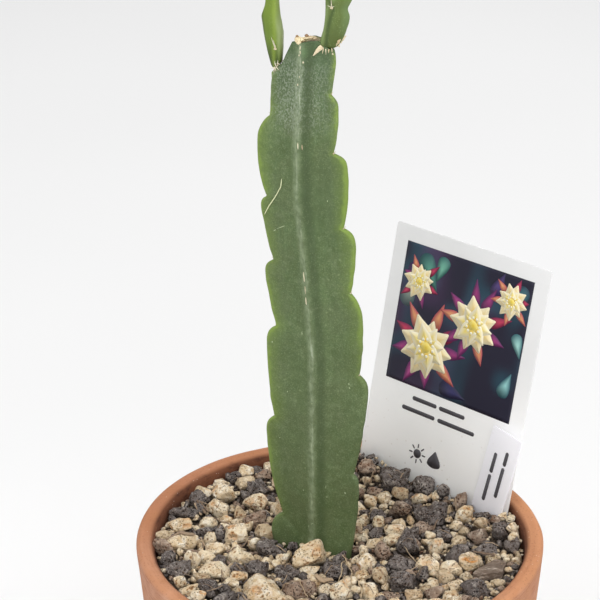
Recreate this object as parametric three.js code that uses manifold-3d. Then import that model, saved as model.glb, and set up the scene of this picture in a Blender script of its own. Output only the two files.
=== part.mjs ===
// An orchid cactus cutting in a clay pot of gravel, with a picture card and a plant tag.
// Millimetres, +Z up, origin at the centre of the pot's underside. -Y is the front.
import * as THREE from "three";
import { mergeVertices } from "three/addons/utils/BufferGeometryUtils.js";
import Module from "manifold-3d";

const wasm = await Module();
wasm.setup();

// ---------------------------------------------------------------- driving dimensions
const RIM_HEIGHT = 120; // top of the rim above the ground; heights below are above the rim
const RIM_RADIUS = 70; // outside of the rim
const LIP_WIDTH = 6.2; // thickness of the lip
const LIP_OUTER_ROUND = 2; // roundings of its two edges
const LIP_INNER_ROUND = 0.9;
const WALL_TAPER = 4; // degrees, near the rim
const BASE_RADIUS = 57; // outside of the pot at the ground
const BEND_DEPTH = 60; // depth below the rim where the wall starts to draw in more
const BASE_EDGE = 3; // rounding between wall and underside
const WALL_WIDTH = 6; // wall thickness below the lip
const FLOOR_WIDTH = 8; // thickness of the pot's floor
const DRAIN_RADIUS = 9; // hole in the floor
const CLEARANCE = 0.3; // gap between pieces that touch
const STEM_ROOM = 0.54; // room round the stem in the gravel, whose facets cut its corners
const STONE_ROOM = 0.4; // room round each stone in the gravel

const BED_HEIGHT = -8; // mean top of the gravel
// Places where the gravel lies higher or lower: x, y, change of height, spread.
const BED_MOUNDS = [
  [14, 55, 6, 12],
  [36, 36, 4.5, 12],
  [54, 17, 3, 11],
  [-26, 46, 0.8, 12],
  [-44, -24, 1.5, 22],
];
// The gravel rises towards the wall: by how much, from which radius, up to which radius.
const BANK = [3.2, 42, 60];

const STEM_FOOT = [-8, 3.5]; // where the middle of the stem leaves the gravel
const STEM_TURN = -21; // degrees, its right edge stands nearer the front
const STEM_TOP = 173; // highest point of the cut top
const STEM_END = -42; // lower end of the woody base, in the gravel
const STEM_BURIED = -12; // below this the stem narrows to its woody base
const STEM_BASE_SHARE = 0.55; // width of the woody base, as a share of the stem's
const STEM_BASE_SWELL = 2; // how much thicker the woody base is, each side
const WING_THICKNESS = 2.6;
const RIB_THICKNESS = 8.4;
const RIB_SPREAD = 3.2; // how far the rib reaches into the wings
const LOBE_SHOULDER = 1.8; // height in which a lobe swells out below its notch
// The notches of each edge, from the top down: height, distance from the middle, and how
// far the lobe below the notch stands out.
const LEFT_NOTCHES = [
  [170, 13.8, 0.8],
  [147.6, 15.8, 5.7],
  [120.5, 16.4, 3.2],
  [98.2, 14.8, 4.2],
  [74.5, 14.5, 3.3],
  [41, 15, 4.7],
  [4, 12.3, 5.3],
  [-24, 9, 0],
];
const RIGHT_NOTCHES = [
  [174, 5.9, 1],
  [156.6, 5.4, 2.4],
  [137, 6.4, 3.9],
  [111.9, 9.6, 3.6],
  [90, 12.4, 4.2],
  [60.3, 15.2, 3.7],
  [23.5, 14, 2.1],
  [-24, 9, 0],
];
// The line of the rib: height, distance from the middle.
const RIB_LINE = [
  [174, -4],
  [155, -5],
  [121, -3.4],
  [87, -1.1],
  [50, 1],
  [0, 1.4],
  [-24, 0],
];
// The slanted cut at the top: distance from the middle, height.
const CUT_START = 148; // the rows of the stem draw down to the cut from this height
const CUT_LINE = [
  [-14.2, 162.5],
  [-11.4, 166],
  [-7.5, 173],
  [-4.7, 172.4],
  [-2, 173.4],
  [0.5, 173],
  [1.8, 171.2],
  [7, 170.5],
];
// Roots: bearing in degrees, reach, depth, radius.
const ROOTS = [
  [20, 34, 40, 1.4],
  [115, 40, 46, 1.2],
  [200, 32, 52, 1.5],
  [290, 38, 44, 1.2],
];

// Shoots grow from notches of the stem. Their outlines from the foot up: height, left edge
// and right edge, both measured across the stem from its middle.
const SHOOTS = {
  left_shoot: {
    outline: [
      [163.3, -14.6, -14],
      [165, -15.2, -12.7],
      [166.4, -15.6, -11.8],
      [170, -16.4, -11],
      [175, -17.4, -10.8],
      [180, -18, -11.8],
      [183, -16.9, -12.1],
      [185.5, -16.6, -12.3],
      [189, -18.2, -10.6],
      [196, -18.6, -10.2],
      [205, -16.5, -11.2],
      [210, -17, -10.6],
      [216, -16, -11],
      [221, -13.9, -12.5],
    ],
    ridges: 5,
    ridgeShare: 0.2,
    turn: 12,
    flatness: 0.9,
  },
  right_shoot: {
    outline: [
      [171.7, 2.4, 6.6],
      [172.7, 1.6, 7.8],
      [175, 1.9, 9.1],
      [177.2, 2.6, 10.1],
      [179.7, 3.1, 10.9],
      [182, 3.4, 11.3],
      [184.4, 3.5, 10.5],
      [187.3, 3.4, 12.1],
      [192, 3.7, 13.4],
      [200, 4.7, 13.8],
      [207, 6, 12.9],
      [212, 5.9, 14.4],
      [220, 7.2, 14],
      [226, 8.6, 13.3],
      [231, 10.4, 11.8],
    ],
    ridges: 3,
    ridgeShare: 0.42,
    turn: -24,
    flatness: 0.8,
  },
};

const CARD = {
  foot: [9.1, 59.8, -1], // where its left edge leaves the gravel
  across: [0.743, -0.669, -0.031], // direction of its width
  up: [0.148, 0.119, 0.982],
  width: 67.9,
  height: 91.5,
  corner: 0.8,
  shoulder: -8, // below this the buried part narrows
  point: -30,
  pointWidth: 18,
  thickness: 0.5,
};
const TAG = {
  foot: [52.8, 18.6, -1.2], // middle of its width at the gravel
  across: [0.661, -0.736, -0.144],
  up: [0.213, 0, 0.977],
  width: 13.7,
  height: 30.4,
  corner: 0.5,
  shoulder: -5,
  point: -16,
  pointWidth: 3,
  thickness: 0.6,
};

// Larger stones on top of the gravel: x, y, across, height, turn in degrees.
const STONES = {
  pumice: [
    [-10.5, -8.2, 13.3, 10.4, 10],
    [-30, 31.5, 9.9, 6.8, 15],
    [-41.5, 34, 9.8, 8, -20],
    [-33.5, 50, 6.5, 4.4, 10],
    [-43.5, 26, 9.5, 6.9, 25],
    [-46, 16, 6.8, 4.7, 0],
    [-36, 8, 9.4, 7, -25],
    [-45.5, 5, 5.9, 6.5, 60],
    [-56, 12, 10.1, 5.1, -10],
    [-54.5, -1, 12, 6, 12],
    [-42.5, -2, 8.9, 4.5, -30],
    [-35.5, -7, 7.1, 6, 20],
    [-42.5, -18, 11.7, 6.4, 15],
    [-25.5, -29.5, 15.7, 7.8, 5],
    [-53.5, -29, 5.8, 4.6, 40],
    [0, -30, 8.6, 7.4, 10],
    [19.5, 11.5, 7.5, 5.5, 0],
    [33.5, -1, 5.9, 6.5, 20],
    [30, -11.5, 8.8, 5.1, -5],
    [44.5, -12, 9.5, 6.7, 10],
    [9, -10, 8.3, 5.5, 15],
    [44.5, 16, 7.3, 7, -10],
    [36.5, -34, 6.6, 4.2, 0],
  ],
  tan_pumice: [
    [22.8, 33.6, 7, 5.4, 30],
    [13.5, -20.5, 6.7, 7.4, 75],
    [50, 10, 6.2, 4.8, -60],
    [36, -19.5, 6.4, 5.2, 20],
  ],
  lava: [
    [-50.5, 29, 8, 6.3, -30],
    [-29, 41, 10.3, 5.1, 5],
    [-58.2, -13.5, 6.2, 6, 30],
    [-28, -17, 9.1, 7.4, 20],
    [-24, -1.5, 9.2, 6.2, -10],
    [-18, -17, 9.7, 4.9, 15],
    [-54.5, -22, 10.1, 5.1, 70],
    [-1.5, -14.5, 9.8, 6.2, 60],
    [21, 41.2, 12, 6.8, -32],
    [31.5, 34.5, 9.1, 6, -38],
    [33, 18, 14.1, 7.3, -15],
    [56, 2, 6.4, 7, 80],
    [24, -1.5, 10.4, 11.5, 75],
    [21, -23, 11.1, 7.7, 10],
    [50, -5, 10.1, 5.1, 10],
  ],
  scoria: [
    [-29.5, 19.5, 9.5, 5.7, 10],
    [-27, 48.5, 6.4, 4.6, 0],
    [11.2, 48.3, 7.6, 4.6, -10],
    [43.6, 24, 7.2, 8.3, -40],
    [22.5, 24, 9, 7.7, 20],
    [15, -3.5, 7, 7.7, 60],
  ],
};
const BARK = { x: 50.5, y: -20.5, across: 13.6, deep: 8, tall: 3.4, turn: 22 };

// ---------------------------------------------------------------- helpers
const degrees = THREE.MathUtils.degToRad;

// A repeatable number from 0 to 1 for each whole number.
function chance(seed) {
  const wave = Math.sin(seed * 12.9898) * 43758.5453;
  return wave - Math.floor(wave);
}

// The value at `at` on a line of points [at, value], straight between them.
function onLine(points, at) {
  const rising = points[0][0] < points.at(-1)[0];
  const line = rising ? points : [...points].reverse();
  if (at <= line[0][0]) return line[0][1];
  for (let i = 1; i < line.length; i++) {
    const [a, left] = line[i - 1];
    const [b, right] = line[i];
    if (at <= b) return THREE.MathUtils.mapLinear(at, a, b, left, right);
  }
  return line.at(-1)[1];
}

// Welds a geometry's vertices, so that it is one closed surface.
function weld(geometry) {
  const bare = geometry.clone();
  for (const name of Object.keys(bare.attributes)) {
    if (name !== "position") bare.deleteAttribute(name);
  }
  return mergeVertices(bare, 1e-4);
}

// Moves every vertex of a welded geometry by `move(point)`, which changes the point.
function shape(geometry, move) {
  const welded = weld(geometry);
  const place = welded.attributes.position;
  const point = new THREE.Vector3();
  for (let i = 0; i < place.count; i++) {
    point.fromBufferAttribute(place, i);
    move(point, i);
    place.setXYZ(i, point.x, point.y, point.z);
  }
  return welded;
}

function toSolid(geometry) {
  const welded = weld(geometry);
  const vertProperties = new Float32Array(welded.attributes.position.array);
  const triVerts = new Uint32Array(welded.index.array);
  return new wasm.Manifold(new wasm.Mesh({ numProp: 3, vertProperties, triVerts }));
}

function fromSolid(solid) {
  const mesh = solid.getMesh();
  const geometry = new THREE.BufferGeometry();
  const points = new Float32Array(mesh.numVert * 3);
  for (let i = 0; i < mesh.numVert; i++) {
    for (let k = 0; k < 3; k++) points[3 * i + k] = mesh.vertProperties[mesh.numProp * i + k];
  }
  geometry.setAttribute("position", new THREE.BufferAttribute(points, 3));
  geometry.setIndex(new THREE.BufferAttribute(new Uint32Array(mesh.triVerts), 1));
  return geometry;
}

function finish(colour, roughness) {
  return new THREE.MeshStandardMaterial({ color: colour, roughness, metalness: 0 });
}

function named(name, geometry, material) {
  const mesh = new THREE.Mesh(geometry, material);
  mesh.name = name;
  return mesh;
}

// ---------------------------------------------------------------- pot
// The outside of the wall leaves the lip at the taper and curves in to the base.
const outerWall = new THREE.QuadraticBezierCurve(
  new THREE.Vector2(RIM_RADIUS, RIM_HEIGHT - LIP_OUTER_ROUND),
  new THREE.Vector2(
    RIM_RADIUS - Math.tan(degrees(WALL_TAPER)) * BEND_DEPTH,
    RIM_HEIGHT - BEND_DEPTH,
  ),
  new THREE.Vector2(BASE_RADIUS, BASE_EDGE),
);
const innerWall = new THREE.QuadraticBezierCurve(
  new THREE.Vector2(RIM_RADIUS - LIP_WIDTH, RIM_HEIGHT - LIP_INNER_ROUND),
  new THREE.Vector2(outerWall.v1.x - WALL_WIDTH, outerWall.v1.y),
  new THREE.Vector2(BASE_RADIUS - WALL_WIDTH, FLOOR_WIDTH + BASE_EDGE),
);

// The inside radius of the pot at a height above the ground.
function insideRadius(height) {
  let nearest = innerWall.getPoint(0);
  for (const point of innerWall.getPoints(60)) {
    if (Math.abs(point.y - height) < Math.abs(nearest.y - height)) nearest = point;
  }
  return nearest.x;
}

function makePot() {
  const outerMiddle = RIM_RADIUS - LIP_OUTER_ROUND;
  const innerMiddle = RIM_RADIUS - LIP_WIDTH + LIP_INNER_ROUND;
  const lip = [];
  for (let step = 0; step < 3; step++) {
    const angle = (step * Math.PI) / 6;
    const out = LIP_INNER_ROUND * Math.cos(angle);
    const up = LIP_INNER_ROUND * Math.sin(angle) - LIP_INNER_ROUND;
    if (step > 0) lip.push(new THREE.Vector2(innerMiddle - out, RIM_HEIGHT + up));
  }
  lip.push(new THREE.Vector2(innerMiddle, RIM_HEIGHT));
  for (let step = 0; step < 4; step++) {
    const angle = Math.PI / 2 - (step * Math.PI) / 8;
    const out = LIP_OUTER_ROUND * Math.cos(angle);
    const up = LIP_OUTER_ROUND * Math.sin(angle) - LIP_OUTER_ROUND;
    lip.push(new THREE.Vector2(outerMiddle + out, RIM_HEIGHT + up));
  }
  const outline = [
    new THREE.Vector2(DRAIN_RADIUS, 0),
    new THREE.Vector2(BASE_RADIUS - BASE_EDGE, 0),
    new THREE.Vector2(BASE_RADIUS - BASE_EDGE * 0.3, BASE_EDGE * 0.3),
    ...outerWall.getPoints(5).reverse(),
    ...lip.reverse(),
    ...innerWall.getPoints(4),
    new THREE.Vector2(BASE_RADIUS - WALL_WIDTH - BASE_EDGE, FLOOR_WIDTH),
    new THREE.Vector2(DRAIN_RADIUS, FLOOR_WIDTH),
    new THREE.Vector2(DRAIN_RADIUS, 0),
  ];
  const turned = new THREE.LatheGeometry(outline, 48);
  turned.rotateX(Math.PI / 2);
  return turned;
}

// ---------------------------------------------------------------- gravel
function bedHeight(x, y) {
  const [bankRise, bankStart, bankFull] = BANK;
  const bank = THREE.MathUtils.smoothstep(Math.hypot(x, y), bankStart, bankFull);
  let height = BED_HEIGHT + bankRise * bank;
  for (const [mx, my, rise, spread] of BED_MOUNDS) {
    height += rise * Math.exp(-((x - mx) ** 2 + (y - my) ** 2) / (2 * spread ** 2));
  }
  return height;
}

// The gravel and soil as one mass, before room is made for what stands and lies in it.
function makeBed() {
  const outline = [new THREE.Vector2(0, FLOOR_WIDTH + CLEARANCE)];
  outline.push(new THREE.Vector2(BASE_RADIUS - WALL_WIDTH - BASE_EDGE, FLOOR_WIDTH + CLEARANCE));
  const top = RIM_HEIGHT + BED_HEIGHT;
  const wallSteps = 3;
  for (let step = 0; step <= wallSteps; step++) {
    const height = THREE.MathUtils.lerp(FLOOR_WIDTH + BASE_EDGE + 1, top, step / wallSteps);
    outline.push(new THREE.Vector2(insideRadius(height) - 2.5 * CLEARANCE, height));
  }
  const rings = 6;
  for (let ring = rings; ring >= 0; ring--) {
    outline.push(new THREE.Vector2((ring / rings) * (insideRadius(top) - 3), top + 0.01));
  }
  const turned = new THREE.LatheGeometry(outline, 40);
  turned.rotateX(Math.PI / 2);
  return shape(turned, (point) => {
    if (point.z < top - 0.1) return;
    const lump = 0.7 * Math.sin(point.x * 0.55 + 1) * Math.sin(point.y * 0.5 + 2);
    const inside = Math.hypot(point.x, point.y) < insideRadius(top) - 1;
    point.z = RIM_HEIGHT + bedHeight(point.x, point.y) + (inside ? lump : -1);
  });
}

// ---------------------------------------------------------------- stem
// How far an edge stands from the middle at a height: each lobe swells out just below its
// notch and draws in slowly to the next one.
function edgeReach(notches, height) {
  if (height >= notches[0][0]) return notches[0][1];
  for (let i = 1; i < notches.length; i++) {
    const [top, reachTop, swell] = notches[i - 1];
    const [low, reachLow] = notches[i];
    if (height >= low) {
      const down = (top - height) / (top - low);
      const shoulder = 1 - Math.exp(-(top - height) / LOBE_SHOULDER);
      return THREE.MathUtils.lerp(reachTop, reachLow, down) + swell * shoulder * (1 - down ** 2.2);
    }
  }
  return notches.at(-1)[1];
}

// The stem's own axes: x across its width, y through its thickness, z up from the rim.
function stemFrame() {
  const frame = new THREE.Matrix4().makeRotationZ(degrees(STEM_TURN));
  frame.setPosition(STEM_FOOT[0], STEM_FOOT[1], RIM_HEIGHT);
  return frame;
}

function makeStemBody(grow) {
  const rows = 64;
  const column = new THREE.CylinderGeometry(1, 1, 1, 16, rows);
  column.rotateX(Math.PI / 2);
  const body = shape(column, (point) => {
    const along = point.z + 0.5;
    const height = THREE.MathUtils.lerp(STEM_END - grow, STEM_TOP, along);
    const side = Math.hypot(point.x, point.y) > 0.5 ? point.x : 0;
    const rib = onLine(RIB_LINE, height);
    const buried = THREE.MathUtils.clamp((height - STEM_BURIED) / (STEM_END - STEM_BURIED), 0, 1);
    const narrow = THREE.MathUtils.lerp(1, STEM_BASE_SHARE, buried);
    const left = edgeReach(LEFT_NOTCHES, height) * narrow + rib + grow;
    const right = edgeReach(RIGHT_NOTCHES, height) * narrow - rib + grow;
    const x = rib + (side > 0 ? side * right : side * left);
    const fall = Math.exp(-((Math.abs(x - rib) / RIB_SPREAD) ** 1.4));
    const rise = ((RIB_THICKNESS - WING_THICKNESS) / 2) * fall;
    const half = WING_THICKNESS / 2 + rise + STEM_BASE_SWELL * buried;
    const margin = Math.min(1, 2.2 * Math.sqrt(1 - Math.min(1, side * side)));
    const outward = Math.abs(point.y) < 1e-6 ? 0 : Math.sign(point.y);
    const pull = THREE.MathUtils.smoothstep(height, CUT_START, STEM_TOP);
    const cut = onLine(CUT_LINE, x) - STEM_TOP;
    point.set(x, outward * margin * (half + grow), height + pull * cut);
  });
  return body.applyMatrix4(stemFrame());
}

function makeRoot([bearing, reach, depth, radius], grow) {
  const angle = degrees(bearing);
  const foot = new THREE.Vector3(STEM_FOOT[0], STEM_FOOT[1], RIM_HEIGHT + STEM_END + 6);
  const out = new THREE.Vector3(Math.cos(angle), Math.sin(angle), 0);
  const route = new THREE.CatmullRomCurve3([
    foot.clone(),
    foot.clone().addScaledVector(out, reach * 0.35).add(new THREE.Vector3(0, 0, -depth * 0.2)),
    foot.clone().addScaledVector(out, reach * 0.8).add(new THREE.Vector3(0, 0, -depth * 0.55)),
    foot.clone().addScaledVector(out, reach + grow).add(new THREE.Vector3(0, 0, -depth - grow)),
  ]);
  const section = new THREE.Shape();
  const sides = 6;
  for (let i = 0; i <= sides; i++) {
    const turn = (i / sides) * 2 * Math.PI;
    const method = i === 0 ? "moveTo" : "lineTo";
    section[method]((radius + grow) * Math.cos(turn), (radius + grow) * Math.sin(turn));
  }
  return new THREE.ExtrudeGeometry(section, { steps: 7, extrudePath: route });
}

// The stem with its woody base and roots, as one grown piece. `grow` makes it fatter all
// round, for the room it takes in the gravel.
function makeStem(grow) {
  let solid = toSolid(makeStemBody(grow));
  for (const root of ROOTS) solid = solid.add(toSolid(makeRoot(root, grow)));
  return solid;
}

// A young shoot: a ribbed column between its two outlines. A ridge stands at `turn` and at
// even steps round from it, and the valleys between lie lower by `ridgeShare`.
function makeShoot({ outline, ridges, ridgeShare, turn, flatness }) {
  const foot = outline[0][0];
  const tip = outline.at(-1)[0];
  const leftLine = outline.map(([height, left]) => [height, left]);
  const rightLine = outline.map(([height, , right]) => [height, right]);
  const column = new THREE.CylinderGeometry(1, 1, 1, ridges * 4, 18);
  column.rotateX(Math.PI / 2);
  const shoot = shape(column, (point) => {
    const height = THREE.MathUtils.lerp(foot, tip, point.z + 0.5);
    const left = onLine(leftLine, height);
    const right = onLine(rightLine, height);
    const angle = Math.atan2(point.y, point.x);
    const wave = 0.5 + 0.5 * Math.cos(ridges * (angle - degrees(turn)));
    const onRim = Math.hypot(point.x, point.y) > 0.5;
    const reach = onRim ? ((right - left) / 2) * (1 - ridgeShare * (1 - wave ** 1.5)) : 0;
    const across = (left + right) / 2 + reach * Math.cos(angle);
    point.set(across, flatness * reach * Math.sin(angle), height);
  });
  return shoot.applyMatrix4(stemFrame());
}

// ---------------------------------------------------------------- labels
// A flat label with a buried point. `grow` widens it for the slot it makes in the gravel.
function makeLabel(label, grow) {
  const { width, height, corner, shoulder, point, pointWidth, thickness, centred } = label;
  const left = (centred ? -width / 2 : 0) - grow;
  const right = left + width + 2 * grow;
  const middle = (left + right) / 2;
  const tip = pointWidth / 2 + grow;
  const outline = new THREE.Shape();
  outline.moveTo(middle - tip, point - grow);
  outline.lineTo(middle + tip, point - grow);
  outline.lineTo(right, shoulder);
  outline.lineTo(right, height - corner);
  outline.lineTo(right - corner, height);
  outline.lineTo(left + corner, height);
  outline.lineTo(left, height - corner);
  outline.lineTo(left, shoulder);
  outline.closePath();
  const depth = thickness + 2 * grow;
  const plate = new THREE.ExtrudeGeometry(outline, { depth, bevelEnabled: false });
  plate.translate(0, 0, -depth / 2);
  const across = new THREE.Vector3(...label.across).normalize();
  const up = new THREE.Vector3(...label.up);
  up.addScaledVector(across, -up.dot(across)).normalize();
  const facing = new THREE.Vector3().crossVectors(across, up);
  const frame = new THREE.Matrix4().makeBasis(across, up, facing);
  frame.setPosition(label.foot[0], label.foot[1], label.foot[2] + RIM_HEIGHT);
  return plate.applyMatrix4(frame);
}

// ---------------------------------------------------------------- stones
// An angular stone with its own dents. `grow` makes room for it in the gravel.
function makeStone([x, y, across, tall, turn], seed, grow) {
  const deep = across * 0.84;
  const large = across > 8;
  const rough = large ? new THREE.IcosahedronGeometry(1, 1) : new THREE.DodecahedronGeometry(1.08);
  const stone = shape(rough, (point, i) => {
    const dent = 0.88 + 0.12 * chance(seed * 97 + i);
    point.multiplyScalar(dent);
    point.set(
      point.x * (across / 2 + grow),
      point.y * (deep / 2 + grow),
      point.z * (tall / 2 + grow),
    );
  });
  stone.rotateZ(degrees(turn));
  return stone.translate(x, y, RIM_HEIGHT + bedHeight(x, y) + tall * 0.28);
}

function makeBark({ x, y, across, deep, tall, turn }, grow) {
  const flake = shape(new THREE.BoxGeometry(1, 1, 1, 6, 4, 1), (point) => {
    const corner = Math.max(0, Math.hypot(point.x, point.y) - 0.45);
    const ragged = 1 - corner * 0.7 + 0.05 * Math.sin(point.x * 31 + point.y * 17);
    const bow = 0.5 * Math.cos(point.x * 2.4);
    point.set(
      point.x * ragged * (across + 2 * grow),
      point.y * ragged * (deep + 2 * grow),
      point.z * (tall + 2 * grow) * (0.8 - 0.2 * Math.sin(point.x * 9)) + bow,
    );
  });
  flake.rotateZ(degrees(turn));
  return flake.translate(x, y, RIM_HEIGHT + bedHeight(x, y) + tall * 0.5);
}

// ---------------------------------------------------------------- assembly
const colours = {
  pumice: finish(0xd8cbb0, 0.95),
  tan_pumice: finish(0xb89a78, 0.95),
  lava: finish(0x43403f, 0.95),
  scoria: finish(0x66564c, 0.95),
};

const cactus = new THREE.Group();
cactus.add(named("pot", makePot(), finish(0xc98f70, 0.85)));

let bed = toSolid(makeBed());
bed = bed.subtract(makeStem(STEM_ROOM));
bed = bed.subtract(toSolid(makeLabel(CARD, CLEARANCE)));
bed = bed.subtract(toSolid(makeLabel({ ...TAG, centred: true }, CLEARANCE)));
bed = bed.subtract(toSolid(makeBark(BARK, CLEARANCE)));

let seed = 0;
for (const [kind, rows] of Object.entries(STONES)) {
  rows.forEach((row, i) => {
    seed += 1;
    const name = `${kind}_${String(i + 1).padStart(2, "0")}`;
    cactus.add(named(name, makeStone(row, seed, 0), colours[kind]));
    bed = bed.subtract(toSolid(makeStone(row, seed, STONE_ROOM)));
  });
}
cactus.add(named("bark_flake", makeBark(BARK, 0), finish(0x8a6a58, 0.9)));
cactus.add(named("gravel_bed", fromSolid(bed), finish(0x8c8176, 0.95)));

cactus.add(named("main_stem", fromSolid(makeStem(0)), finish(0x4f7040, 0.6)));
for (const [name, shoot] of Object.entries(SHOOTS)) {
  cactus.add(named(name, makeShoot(shoot), finish(0x7fa348, 0.55)));
}
cactus.add(named("picture_card", makeLabel(CARD, 0), finish(0xeeeef0, 0.5)));
cactus.add(named("plant_tag", makeLabel({ ...TAG, centred: true }, 0), finish(0xe4e0ee, 0.5)));

export default cactus;
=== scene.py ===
# %% [markdown]
# # An orchid cactus in a clay pot
# A flat green stem with scalloped edges stands in coarse gravel in a plain clay pot. Two young
# shoots grow from its top, and a picture card and a narrow tag are pushed in behind it. The
# imported CAD model is the fixed frame here. It has one body, "root", and every finished piece
# stands in for one of its nodes or lies on them. The frame is loaded first and its box is kept.

# %% Load the frame
import itertools
import math

import bpy
import numpy as np
from mathutils import Matrix, Vector
from mathutils.bvhtree import BVHTree


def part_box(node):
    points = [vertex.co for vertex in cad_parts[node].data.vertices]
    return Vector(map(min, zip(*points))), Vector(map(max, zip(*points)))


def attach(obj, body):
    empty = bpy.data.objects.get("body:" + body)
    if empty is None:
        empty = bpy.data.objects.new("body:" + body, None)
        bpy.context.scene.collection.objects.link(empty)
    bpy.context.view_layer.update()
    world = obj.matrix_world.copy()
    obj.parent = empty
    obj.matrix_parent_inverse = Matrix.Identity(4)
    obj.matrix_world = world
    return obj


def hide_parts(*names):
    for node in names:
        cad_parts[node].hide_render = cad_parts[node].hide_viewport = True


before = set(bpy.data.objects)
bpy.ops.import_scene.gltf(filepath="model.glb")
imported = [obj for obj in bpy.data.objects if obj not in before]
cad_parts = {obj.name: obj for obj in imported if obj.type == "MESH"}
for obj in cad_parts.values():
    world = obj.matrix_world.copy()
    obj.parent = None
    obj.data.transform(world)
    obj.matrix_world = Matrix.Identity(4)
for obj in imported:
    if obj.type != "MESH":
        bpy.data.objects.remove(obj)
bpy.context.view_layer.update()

MM = 0.001
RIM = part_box("pot")[1][2] / MM  # height of the rim, to which all heights below are measured
print("rim height, mm:", round(RIM, 2), "nodes:", len(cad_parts))

# %% [markdown]
# ## Camera, light and floor
# A long lens from a little above looks down into the pot, so that the rim reads as a narrow
# ellipse and the stem stands almost without perspective. The light is four broad soft boxes, the
# strongest at the left, a narrow one that brightens the floor from above, and a pale room all
# round. Hard small lamps would put sharp shadows between the stones, which a soft box doesn't.

# %% Camera
CAMERA_PLACE = (-0.01324, -0.56571, 0.32253 + RIM * MM)
CAMERA_DIP = 22.59  # degrees below level
CAMERA_ROLL = -0.265  # degrees
LENS = 112.0  # on a 36 mm sensor

camera_data = bpy.data.cameras.new("camera")
camera_data.lens = LENS
camera_data.sensor_width = 36
camera = bpy.data.objects.new("camera", camera_data)
camera.location = CAMERA_PLACE
camera.rotation_euler = (math.radians(90 - CAMERA_DIP), 0, 0)
camera.rotation_euler.rotate_axis("Z", math.radians(CAMERA_ROLL))
bpy.context.collection.objects.link(camera)
bpy.context.scene.camera = camera
bpy.context.scene.view_settings.view_transform = "Standard"
print("camera at", CAMERA_PLACE)

# %% Lights and floor
LAMPS = {  # place, size, power and spread: metres, watts and degrees
    "soft_box_left": ((-0.9, -1.1, 1.8), 1.8, 15, 180),
    "soft_box_front": ((0.35, -1.8, 1.6), 1.2, 10, 180),
    "soft_box_right": ((1.6, -0.9, 1.3), 1.3, 11, 180),
    "soft_box_back": ((0.3, 1.5, 2.0), 1.5, 8, 180),
    "soft_box_top": ((-0.06, -0.12, 1.4), 0.3, 0.05, 24),
}
AIM = Vector((0, 0, 0.18))
ROOM_LIGHT = 0.62

for name, (place, size, power, spread) in LAMPS.items():
    data = bpy.data.lights.new(name, "AREA")
    data.shape = "DISK"
    data.size = size
    data.energy = power
    data.spread = math.radians(spread)
    lamp = bpy.data.objects.new(name, data)
    lamp.location = place
    lamp.rotation_euler = (AIM - Vector(place)).to_track_quat("-Z", "Y").to_euler()
    bpy.context.collection.objects.link(lamp)

world = bpy.data.worlds.new("pale_room")
bpy.context.scene.world = world
world.use_nodes = True
room = world.node_tree.nodes["Background"].inputs
room["Color"].default_value = (1.0, 1.0, 1.0, 1)
room["Strength"].default_value = ROOM_LIGHT
print("lamps:", list(LAMPS))

# %% [markdown]
# ## Small tools
# Three kinds of helper serve the whole file. The first works as a hand would: deselect all, add
# a primitive, move its points, apply it. The second gives soft noise and cell patterns for
# points, for lumps and pits. The third builds shader nodes, one line a node, so that a material
# reads like a recipe.

# %% Tools for edit mode


def add_primitive(adder, name, **settings):
    """Adds a primitive with nothing else selected, and names it."""
    bpy.ops.object.select_all(action="DESELECT")
    adder(**settings)
    piece = bpy.context.active_object
    piece.name = name
    piece.data.name = name
    return piece


def open_edit():
    """Edit mode with all selected."""
    bpy.ops.object.mode_set(mode="EDIT")
    bpy.ops.mesh.select_all(action="SELECT")


def close_edit():
    """Turns all faces outwards and leaves edit mode."""
    bpy.ops.mesh.select_all(action="SELECT")
    bpy.ops.mesh.normals_make_consistent(inside=False)
    bpy.ops.object.mode_set(mode="OBJECT")


def pick(piece, kind, rule):
    """Edit mode with only those edges or faces selected for which a rule holds."""
    bpy.ops.object.mode_set(mode="EDIT")
    bpy.ops.mesh.select_mode(type=kind)
    bpy.ops.mesh.select_all(action="DESELECT")
    bpy.ops.object.mode_set(mode="OBJECT")
    for part in piece.data.edges if kind == "EDGE" else piece.data.polygons:
        part.select = bool(rule(part))
    bpy.ops.object.mode_set(mode="EDIT")


def modify(piece, name, kind, **settings):
    """Adds a modifier with its settings and applies it."""
    modifier = piece.modifiers.new(name, kind)
    for setting, value in settings.items():
        setattr(modifier, setting, value)
    bpy.ops.object.modifier_apply(modifier=modifier.name)


def box_in_mm(node):
    """The low and the high corner of a node's box."""
    return [np.array(corner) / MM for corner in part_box(node)]


print("edit tools:", [tool.__name__ for tool in (add_primitive, open_edit, pick, modify)])

# %% Tools for points and places


def get_points(piece):
    points = np.empty(len(piece.data.vertices) * 3)
    piece.data.vertices.foreach_get("co", points)
    return points.reshape(-1, 3)


def set_points(piece, points):
    piece.data.vertices.foreach_set("co", np.asarray(points, float).ravel())
    piece.data.update()


def paint(piece, name, values):
    """Stores one number a vertex, which a material reads by name."""
    layer = piece.data.attributes.new(name, "FLOAT", "POINT")
    layer.data.foreach_set("value", np.asarray(values, np.float32))


def mesh_piece(name, points, faces):
    """A new object from lists of points in metres and faces."""
    mesh = bpy.data.meshes.new(name)
    mesh.from_pydata([tuple(p) for p in points], [], [tuple(f) for f in faces])
    mesh.update()
    piece = bpy.data.objects.new(name, mesh)
    bpy.context.collection.objects.link(piece)
    return piece


def seat(piece, slot, material=None, replaces=()):
    """Finishes a piece: smooth faces, its material, and its place on the frame."""
    for face in piece.data.polygons:
        face.use_smooth = True
    if material:
        piece.data.materials.clear()
        piece.data.materials.append(material)
    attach(piece, "root")
    if replaces:
        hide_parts(*replaces)
    return piece


print("point tools:", [tool.__name__ for tool in (get_points, paint, mesh_piece, seat)])

# %% Tools for noise


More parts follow.
